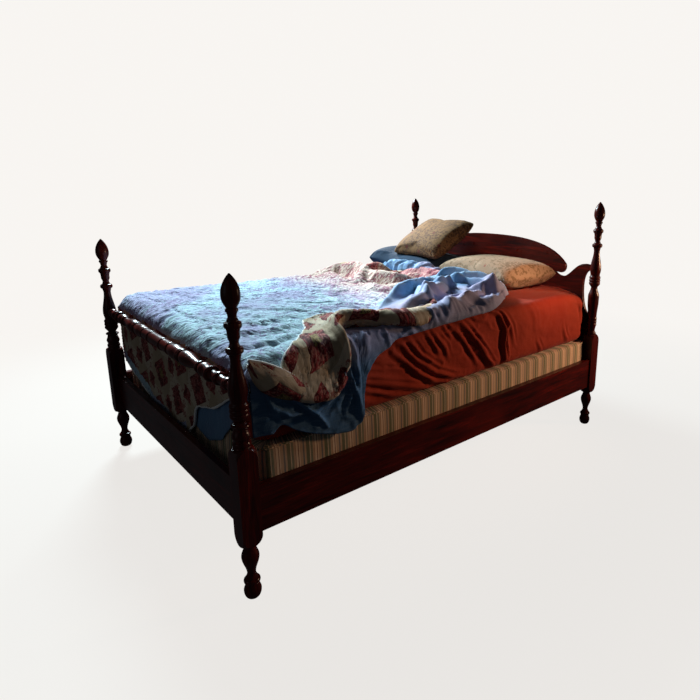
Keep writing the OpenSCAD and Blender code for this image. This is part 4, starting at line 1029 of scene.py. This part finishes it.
def make_quilt():
    """One cloth: across from the far hem over the top to the near fold and back to the near hem, and from the
    foot hem over the foot edge to the head."""
    y0 = bed.rows(QUILT_ROWS, QUILT_FOOT_ROWS, 0.5)
    fold_at = along_points(y0, FOLD_PLACE)
    back = along_points(y0, FOLD_BACK)
    radius = along_points(y0, FOLD_RADIUS)
    turn = fold_at - radius
    length = bed.border + QUILT_FAR_DROP + turn + np.pi * radius + back
    run = np.linspace(0, 1, QUILT_COLUMNS)[None, :] * length - bed.border - QUILT_FAR_DROP
    bend = np.clip((run - turn) / radius, 0, np.pi)
    after = np.maximum(run - turn - np.pi * radius, 0)
    s = np.where(run < turn, run, turn + radius * np.sin(bend) - after)
    lift = radius * (1 - np.cos(bend))
    settled = QUILT_T + 0.006
    lift = np.where(after > 0, settled + (2 * radius - settled) * np.exp(-after / 0.07), lift)
    y = np.where(y0 > -0.2, -0.2 + (y0 + 0.2) * (head_edge(s) + 0.2) / 0.7, y0) + 0 * s
    hem = along_points(s, QUILT_FOOT_HEM) + bed.arc
    let_down(y, hem, QUILT_FOOT_ROWS)
    fallen = bed.fallen(y)
    top = smooth((bed.border - np.abs(s)) / 0.04) * smooth(1 - fallen / 0.05)
    rise = 0.005 * fractal(s * 4, y * 3, 61, 2)
    rise = rise + 0.0028 * fractal(s * 9 + y * 7, y * 30 - s * 5, 51, 2)
    rise = rise + 0.004 * creases(s * 0.45 + y * 0.2, y - s * 0.25, 0.05, 55)
    rise = add_folds(rise, s, y, QUILT_FOLDS, smooth((turn - run) / 0.05))
    rise = add_folds(rise, s, y, QUILT_LUMPS, dip=0.2)
    rise = rise * (0.3 + 0.7 * top)
    turned_back = smooth((run - turn) / 0.04)
    rise = rise + turned_back * 0.006 * fractal(run * 9, y * 9, 71, 2)
    sag = 0.010 * smooth((np.abs(s) - bed.border) / 0.08) * (1 + value_noise(y * 9, y * 0, 81))
    ripple = 0.004 * np.sin(s * 19 + 2.5 * value_noise(s * 5, y * 2, 91))
    ripple = ripple + 0.003 * fractal(s * 9, y * 6, 92, 3)
    off = QUILT_OFF + rise + lift + sag + smooth(fallen / 0.08) * ripple
    at_foot = bed.at_foot(y)
    off = off * (1 - at_foot) + np.clip(off, 0.010, FOOT_GAP - 0.004) * at_foot
    points, out = bed.lay(s, y, off)
    out[(run >= turn + np.pi / 2 * radius)] *= -1
    rows, columns = s.shape
    # On the foot end the cloth has no side parts and no fold.
    on_top = y[:-1, :-1] >= bed.foot - 1e-6
    cell = (np.maximum(np.abs(s[:-1, :-1]), np.abs(s[1:, 1:])) < bed.border + 0.002) | on_top
    cell &= (run[:-1, 1:] < turn[:-1]) | on_top
    # The print's places: the fold's swings are taken out of it beyond the fold, or it would be skewed there.
    window = 2 * PRINT_EVEN_ROWS + 1
    turns = np.pad(turn[:, 0], PRINT_EVEN_ROWS, "edge")
    even = np.convolve(turns, np.ones(window) / window, "valid")[:, None]
    flat = stacked(run - 2 * (turn - even) * bend / np.pi, np.where(y0 > bed.foot, y0, y) + 1.0)
    quilt = cloth_object("quilt_cloth", points, flat, cell)
    hold = np.where(run < turn, 0.25 + 0.25 * at_foot, 0.45) + 0 * s
    wrinkle(quilt, (1.03, 1.07, 1.05), hold.ravel(), 0.005, 0.009, out.reshape(-1, 3))
    points = points_of(quilt.data).reshape(rows, columns, 3)
    # The foot hang shows the other side's print, apart from a turned strip along its hem.
    corners = grid_faces(rows, columns, cell)
    spread = stacked(y0 + 0 * s, fallen, hem - (bed.foot - y)).reshape(-1, 3)[corners].mean(1)
    lower = (spread[:, 0] <= bed.foot) & (spread[:, 1] > 0)
    lower &= (spread[:, 2] > 0.045) | (s.ravel()[corners[:, 0]] > 0.12)
    # So does a part of the head edge, which is rolled over.
    centre = np.empty(len(corners) * 3)
    quilt.data.polygons.foreach_get("center", centre)
    x, y_at, _ = centre.reshape(-1, 3).T
    rolled = (y_at > 0.1) & (head_edge(x) - y_at < 0.12) & (x > -0.6) & (x < -0.24)
    quilt.data.polygons.foreach_set("material_index", np.where(lower | rolled, 3, 0))
    near_hem = points[y0[:, 0] > -0.856, columns - 1]
    foot_hem = points[0, (np.abs(s[0]) < bed.border) & (run[0] < turn[0])]
    near_cord = tube("near_hem", near_hem[::2], QUILT_PIPING)
    cords = join("quilt_piping", near_cord, tube("foot_hem", foot_hem[::2], FOOT_PIPING))
    thicken(quilt, QUILT_T, 0.0, material_offset=1, material_offset_rim=2)
    trim(quilt, "verts", lambda vertex: not vertex.link_faces)
    cut = np.abs(np.diff(run[:-1], axis=1) * np.diff(flat[:, :-1, 1], axis=0))
    return quilt, cords, float(cut[cell].sum())


# The corner of the quilt turned up beside the foot post, by y: height of its upper hem and of its lower fold.
POUCH_HEM = metres([
    (-948, 780), (-908, 766), (-852, 735), (-786, 684), (-735, 625),
])
POUCH_FOLD = metres([
    (-948, 762), (-935, 718), (-912, 680), (-889, 658), (-841, 633), (-790, 616), (-735, 603),
])
POUCH_SIZE = (60, 80)
POUCH_X = 0.7115
POUCH_FRONT = 0.72


def make_pouch():
    rows, columns = POUCH_SIZE
    y = np.linspace(-0.948, -0.735, columns)[None, :]
    hem, under = along_points(y, POUCH_HEM), along_points(y, POUCH_FOLD)
    v = np.linspace(0, 1, rows)[:, None]
    front = np.clip(v / POUCH_FRONT, 0, 1)
    behind = np.clip((v - POUCH_FRONT) / (1 - POUCH_FRONT), 0, 1)
    z = hem + (under - hem) * (1 - (1 - front) ** 1.15) + behind * (hem - under) * 0.35
    full = np.sin(np.pi * np.clip((y + 0.965) / 0.245, 0, 1)) ** 0.7
    belly = 0.034 * full * np.sin(np.pi * np.clip(front * 0.9 + 0.12, 0, 1)) ** 0.8
    x = POUCH_X + belly * (1 - behind) + 0.004 * fractal(y * 22, v * 3, 141, 3) * full
    x = x + 0.004 * np.sin(y * 70 + v * 4) * full * front
    points = stacked(x, y, z)
    pouch = cloth_object("quilt_corner", points[:, ::-1], stacked(y, v * 0.2)[:, ::-1])
    thicken(pouch, QUILT_T, 0.0, material_offset_rim=1)
    hem_cord = tube("corner_hem", points[0, ::2] + (0.001, 0, 0.001), QUILT_PIPING)
    return pouch, hem_cord


# ---------- flat sheet ----------

# By y: how far across the sheet's near hem lies, and where the heap on top begins.
SHEET_HEM = metres([
    (-945, 840), (-925, 900), (-910, 922), (-885, 895), (-855, 873), (-800, 905), (-750, 930), (-694, 951),
    (-635, 966), (-570, 960), (-545, 930), (-535, 870), (-520, 810), (-490, 760), (-455, 730), (-420, 715),
    (-380, 700), (-300, 695), (-150, 690), (20, 685), (200, 670), (300, 640), (380, 600), (450, 550),
    (520, 480),
])
HEAP_EDGE = metres([
    (-930, 600), (-450, 500), (-300, 420), (-220, 380), (-100, 300), (60, 240), (200, 180), (320, 130),
    (450, 120), (520, 140),
])
# The drop of the foot hem, by the distance across.
SHEET_FOOT_HEM = metres([
    (-760, 260), (-660, 270), (-550, 275), (-410, 262), (-200, 260), (50, 280), (200, 315), (300, 330),
    (360, 310), (427, 285), (500, 220), (587, 130), (650, 110), (760, 100),
])
# Ridges of the heap.
SHEET_RIDGES = metres([
    (45, 35, 600, -300, 550, -120, 470, 50, 400, 200, 330, 360),
    (30, 22, 660, -180, 640, 0, 600, 160, 520, 330),
    (45, 28, 420, -200, 340, -50, 280, 100, 220, 280),
    (50, 30, 500, 220, 560, 320, 550, 420),
    (52, 30, 250, 340, 360, 440, 470, 480),
    (45, 28, 150, 320, 200, 440, 300, 500),
    (50, 24, 280, 220, 400, 300, 540, 330, 630, 300),
    (12, 14, 620, -420, 660, -340, 670, -220),
    (26, 13, 450, -80, 520, 20, 560, 140),
    (26, 13, 340, 20, 420, 100, 450, 200),
    (24, 12, 380, 140, 480, 180, 570, 140),
    (24, 13, 600, 50, 645, 140, 640, 260),
    (26, 15, 300, 100, 400, 0, 520, -60, 620, -80),
])
# Folds of the hanging part, in distance across and y.
SHEET_DRAPES = metres([
    (14, 15, 620, -560, 700, -570, 780, -555, 860, -560, 950, -545),
    (20, 9, 786, -815, 839, -762, 880, -721, 925, -690),
    (16, 9, 800, -880, 848, -824, 849, -783, 829, -746),
    (14, 9, 778, -587, 851, -568, 910, -564),
    (22, 11, 600, -627, 684, -601, 751, -592, 826, -583, 891, -614),
    (15, 10, 610, -645, 699, -625, 757, -633, 808, -652),
    (16, 9, 875, -760, 845, -687, 813, -635, 770, -600),
    (12, 10, 750, -895, 811, -880, 860, -845),
    (12, 9, 650, -566, 735, -574, 775, -560),
    (13, 9, 785, -820, 792, -790, 828, -730, 823, -675),
    (10, 10, 900, -880, 920, -820, 930, -760),
])
# The middle of the bunched head edge, from left to right.
SHEET_HEAD_PATH = metres([
    (-620, 600, 800), (-500, 565, 825), (-350, 535, 845), (-180, 515, 850), (-20, 500, 840), (80, 485, 820),
    (150, 460, 800),
])
SHEET_ROWS = 270
SHEET_COLUMNS = 210
SHEET_FOOT_ROWS = 40
HEAD_SIZE = (60, 130)


def sheet_main():
    """From the far border, under the quilt, over the near edge to the hem, and on top the crumpled heap."""
    y0 = bed.rows(SHEET_ROWS, SHEET_FOOT_ROWS, 0.52)
    hem = along_points(y0, SHEET_HEM)
    u = np.linspace(0, 1, SHEET_COLUMNS)[None, :]
    # Most columns are in the part that shows.
    share = np.where(u < 0.25, u * 2.2, 0.55 + (u - 0.25) * 0.6)
    far = -bed.border - 0.04
    s = far + (hem - far) * share
    y = y0 + 0 * s
    let_down(y, along_points(s, SHEET_FOOT_HEM) + bed.arc, SHEET_FOOT_ROWS)
    inner = along_points(y, HEAP_EDGE)
    fold_at = along_points(y, FOLD_PLACE)
    heaped = smooth((y + 0.32) / 0.14)
    body = smooth((hem - s) / 0.05) * smooth((s - inner) / 0.06)
    rise = heaped * body * 0.012 * (1 + fractal(s * 7, y * 6, 101, 2))
    rise = rise + 0.030 * heaped * smooth((hem - s + 0.01) / 0.03) * smooth((s - inner) / 0.06)
    rise = add_folds(rise, s, y, SHEET_RIDGES, smooth((y + 0.45) / 0.1) * body, dip=0.35)
    rise = add_folds(rise, s, y, SHEET_DRAPES, smooth((s - 0.6) / 0.06), 1.1, 0.85)
    bare = smooth((s - 0.62) / 0.05 + heaped) * (s > inner)
    rise = rise + bare * 0.003 * fractal(s * 16 + y * 4, y * 13 - s * 5, 111, 3)
    hung = smooth((s - 0.66) / 0.08)
    crumple = 0.011 * creases(s * 0.9 + y * 0.3, y * 0.7 - s * 0.3, 0.085, 112, 0.13)
    crumple = crumple + 0.006 * creases(s - y * 0.5, y + s * 0.4, 0.05, 115, 0.13)
    crumple = crumple + 0.004 * creases(s * 0.5 + y, y * 0.3 - s, 0.034, 118, 0.12)
    rise = rise + bare * (1 - 0.6 * hung) * crumple
    rise = rise + hung * 0.0025 * creases(y + s * 0.5, s * 0.35 - y * 0.15, 0.045, 117, 0.16)
    flare = 0.016 * smooth(np.maximum(s - bed.border, 0) / 0.22)
    free = smooth((s - 0.2) / 0.08) * smooth(bed.fallen(y) / 0.08)
    ripple = 0.005 * np.sin(s * 42 + 2 * value_noise(s * 8, y * 4, 121))
    ripple = ripple + 0.004 * fractal(s * 14, y * 9, 122, 3)
    covered = smooth((-0.30 - y) / 0.05) * smooth((fold_at - 0.03 - s) / 0.05)
    covered = np.maximum(covered, smooth((inner - s) / 0.03))
    # Where the heap lies over the quilt's near edge it stays clear of it.
    over_edge = smooth((y - 0.09) / 0.05) * smooth((s - inner) / 0.03) * smooth((fold_at + 0.06 - s) / 0.05)
    rise = np.maximum(rise, 0.052 * over_edge)
    off = SHEET_OFF + np.maximum(rise, -0.001) + flare + free * ripple
    limit = QUILT_OFF - QUILT_T / 2 - 0.004
    off = (1 - covered) * off + covered * np.minimum(off, limit + flare)
    at_foot = bed.at_foot(y)
    shut = np.clip(off, 0.003, 0.006 + free * (FOOT_GAP - 0.007))
    off = off * (1 - at_foot) + shut * at_foot
    points, out = bed.lay(s, y, off)
    cell = (np.abs(s[1:, 1:]) < bed.border + 0.002) | (y[:-1, :-1] >= bed.foot - CORNER_RUN)
    sheet = cloth_object("sheet_main", points, stacked(s, y + 1.2), cell)
    shown = (1 - covered) * (1 - 0.6 * at_foot) * (1 - 0.5 * hung)
    wrinkle(sheet, (1.09, 1.08, 1.08), (1 - 0.9 * shown).ravel(), 0.003, 0.016, out.reshape(-1, 3))
    trim(sheet, "verts", lambda vertex: not vertex.link_faces)
    return sheet


def sheet_head():
    """The sheet's head edge, bunched against the pillows."""
    rows, columns = HEAD_SIZE
    u = np.linspace(0, 1, columns)[None, :]
    place = np.arange(len(SHEET_HEAD_PATH))
    spine = [along_points(u * place[-1], list(zip(place, line))) for line in zip(*SHEET_HEAD_PATH)]
    v = np.linspace(0, 1, rows)[:, None]
    angle = np.pi * (1.15 - 1.3 * v)
    size = 0.042 * (0.7 + 0.3 * np.sin(np.pi * u)) * (1 + 0.22 * fractal(u * 12, v * 3, 131, 2))
    size = size + 0.006 * np.sin(u * 60 + v * 9 + 2 * value_noise(u * 10, v * 4, 132))
    points = stacked(spine[0], spine[1] - size * 1.2 * np.cos(angle), spine[2] - 0.035 + size * np.sin(angle))
    head = cloth_object("sheet_head", points[::-1], stacked(u * 0.9, v * 0.16 + 2.0)[::-1])
    out = stacked(0 * angle, -np.cos(angle), np.sin(angle))
    out = np.broadcast_to(out, points.shape)[::-1].reshape(-1, 3)
    wrinkle(head, (1.08, 1.05, 1.05), np.full(len(out), 0.2), 0.008, 0.012, out, 12)
    return head


def make_flat_sheet():
    sheet = join("flat_sheet_cloth", sheet_main(), sheet_head())
    thicken(sheet, SHEET_T)
    return sheet


# ---------- pillows ----------

# Node, body, width, depth and thickness, tilt and turn in degrees, and whether it lies flat on the sheet.
PILLOWS = [
    ("pillow_blue", "lower_pillow", (0.615, 0.42, 0.112), 0, 0, True),
    ("pillow_khaki", "propped_pillow", (0.44, 0.39, 0.105), 30, -3, False),
    ("pillow_cream", "right_pillow", (0.58, 0.44, 0.138), 0, -4, True),
]
PILLOW_CAP = 0.010
PILLOW_GRID = (72, 54)


def cushion_points(width, depth, thick):
    """The upper panel of a cushion: thin at its rim, with sides that pull in between the corners."""
    u, v = (np.sin(np.pi / 2 * np.linspace(-1, 1, count)) for count in PILLOW_GRID)
    u, v = u[:, None], v[None, :]
    corner = 1 - 0.075 * (u * v) ** 6
    x = width / 2 * u * (1 - 0.05 * (1 - v * v) * u * u) * corner
    y = depth / 2 * v * (1 - 0.06 * (1 - u * u) * v * v) * corner
    puff = (thick / 2) * (np.maximum(0, 1 - np.abs(u) ** 3.2) * np.maximum(0, 1 - np.abs(v) ** 2.8)) ** 0.55
    return stacked(x, y, puff)


def pillow(name, width, depth, thick):
    """Two panels sewn round their edge and filled."""
    top = cushion_points(width, depth, thick)
    n, m = PILLOW_GRID
    inner = np.zeros((n, m), bool)
    inner[1:-1, 1:-1] = True
    above = np.arange(n * m).reshape(n, m)
    below = above.copy()
    below[inner] = n * m + np.arange(inner.sum())
    points = np.vstack([top.reshape(-1, 3), (top * (1, 1, -1))[inner]])
    faces = []
    for i in range(n - 1):
        for j in range(m - 1):
            faces.append((above[i, j], above[i + 1, j], above[i + 1, j + 1], above[i, j + 1]))
            faces.append((below[i, j], below[i, j + 1], below[i + 1, j + 1], below[i + 1, j]))
    return mesh_object(name, points, faces, points[:, :2])


def inflate(piece, cap):
    """Blows the cushion up as cloth, moving no point more than cap."""
    start = points_of(piece.data)
    end = run_cloth(piece, SIM_FRAMES, quality=6, mass=0.2, tension_stiffness=20, compression_stiffness=20,
                    shear_stiffness=6, bending_stiffness=0.3, use_pressure=True, uniform_pressure_force=4.0,
                    shrink_min=-0.02)
    move = end - start
    move *= np.minimum(1, cap / np.maximum(np.linalg.norm(move, axis=1)[:, None], 1e-9))
    put_points(piece, start + move)


def place_pillow(piece, node, tilt, turn, rest):
    """Turns the pillow, sets it in its solid's place and flattens it where it rests."""
    low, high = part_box(node)
    turned = Matrix.Translation((low + high) / 2) @ Matrix.Rotation(math.radians(turn), 4, "Z")
    piece.data.transform(turned @ Matrix.Rotation(math.radians(tilt), 4, "X"))
    if rest is not None:
        points = points_of(piece.data)
        z = points[:, 2]
        points[:, 2] = np.where(z < rest, rest - (rest - z) * 0.06, z)
        put_points(piece, points)
    piece.data.update()


def plump_left_end(piece):
    """Lifts the end of the lower pillow that the propped one leaves free."""
    points = points_of(piece.data)
    x, _, z = points.T
    free = smooth((x.min() + 0.22 - x) / 0.16)
    points[:, 2] = z + 0.30 * free * (z - z.min())
    put_points(piece, points)


def make_pillows():
    made = []
    for node, body, size, tilt, turn, lies in PILLOWS:
        piece = pillow(node + "_case", *size)
        inflate(piece, PILLOW_CAP)
        place_pillow(piece, node, tilt, turn, bed.top + CROWN + 0.001 if lies else None)
        if node == "pillow_blue":
            plump_left_end(piece)
        piece.modifiers.new("soft", "SUBSURF").render_levels = 1
        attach(piece, body)
        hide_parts(node)
        made.append(piece)
    return made


# ---------- everything ----------


def dress_nodes():
    for look, by_axis in ((wood_look, WOOD_NODES), (timber_look, TIMBER_NODES)):
        for axis, names in by_axis.items():
            material = look(axis)
            for name in names:
                dress(nodes[name], material)
    steel = steel_look()
    for name in STEEL_NODES:
        dress(nodes[name], steel)


def make_floor():
    half = FLOOR_HALF
    corners = [(-half, -half, 0), (half, -half, 0), (half, half, 0), (-half, half, 0)]
    floor = mesh_object("floor", corners, [(0, 1, 2, 3)])
    dress(floor, floor_look())
    floor.visible_diffuse = False
    floor.visible_glossy = False


def main():
    make_camera()
    for light in LIGHTS:
        make_light(*light)
    make_world()
    make_floor()
    dress_nodes()

    cover, cords = box_spring()
    ticking = ticking_look()
    for piece in [cover, *cords]:
        dress(piece, ticking)
        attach(piece, "box_spring")
    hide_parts("box_spring_cover", "box_spring_pad")
    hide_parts("box_spring_piping")

    sheet, mattress = mattress_pieces()
    dress(sheet, cotton_look("rust_cotton", (0.36, 0.038, 0.014), (0.27, 0.023, 0.009), (0.44, 0.07, 0.03)))
    dress(mattress, quilted_white_look())
    for piece, slot in ((sheet, "rust_sheet"), (mattress, "white_padding")):
        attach(piece, "mattress")
    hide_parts("fitted_sheet")
    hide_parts("mattress_cover", "mattress_core")

    flat_sheet = make_flat_sheet()
    # For the blue sheet the fourth colour is painted shade on its hanging part and the fifth a lilac tint
    # toward the near side.
    dress(flat_sheet, cotton_look("blue_cotton", (0.25, 0.42, 0.62), (0.17, 0.30, 0.50), (0.38, 0.50, 0.66),
                                  (0.055, 0.13, 0.24), (0.33, 0.31, 0.46)))
    quilt, piping, quilt_cut = make_quilt()
    pouch, pouch_hem = make_pouch()
    piping = join("quilt_piping", piping, pouch_hem)
    patchwork = patchwork_look()
    white = plain_look("quilt_piping", (0.88, 0.86, 0.82), 0.8)
    dress(quilt, quilt_top_look(), patchwork, white, patchwork)
    dress(pouch, patchwork, white)
    dress(piping, white)
    for piece in (pouch, piping):
        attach(piece, "bedding")
    for piece, node, slot in ((flat_sheet, "flat_sheet", "blue_sheet"), (quilt, "quilt", "floral_quilt")):
        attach(piece, "bedding")
        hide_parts(node)

    pillows = make_pillows()
    navy = cotton_look("navy_cotton", (0.022, 0.045, 0.085), (0.014, 0.03, 0.06), (0.04, 0.07, 0.12))
    khaki = floral_case_look("khaki_floral", (0.23, 0.115, 0.043), (0.18, 0.09, 0.035), (0.13, 0.025, 0.018),
                             (0.06, 0.026, 0.014), 0.065, 1.25)
    cream = floral_case_look("cream_floral", (0.29, 0.20, 0.13), (0.245, 0.165, 0.105), (0.22, 0.06, 0.035),
                             (0.13, 0.085, 0.045), 0.11, 0.7)
    cases = ((navy, "dark_blue_case"), (khaki, "khaki_floral_case"), (cream, "cream_floral_case"))
    for piece, (look, slot) in zip(pillows, cases):
        dress(piece, look)


main()
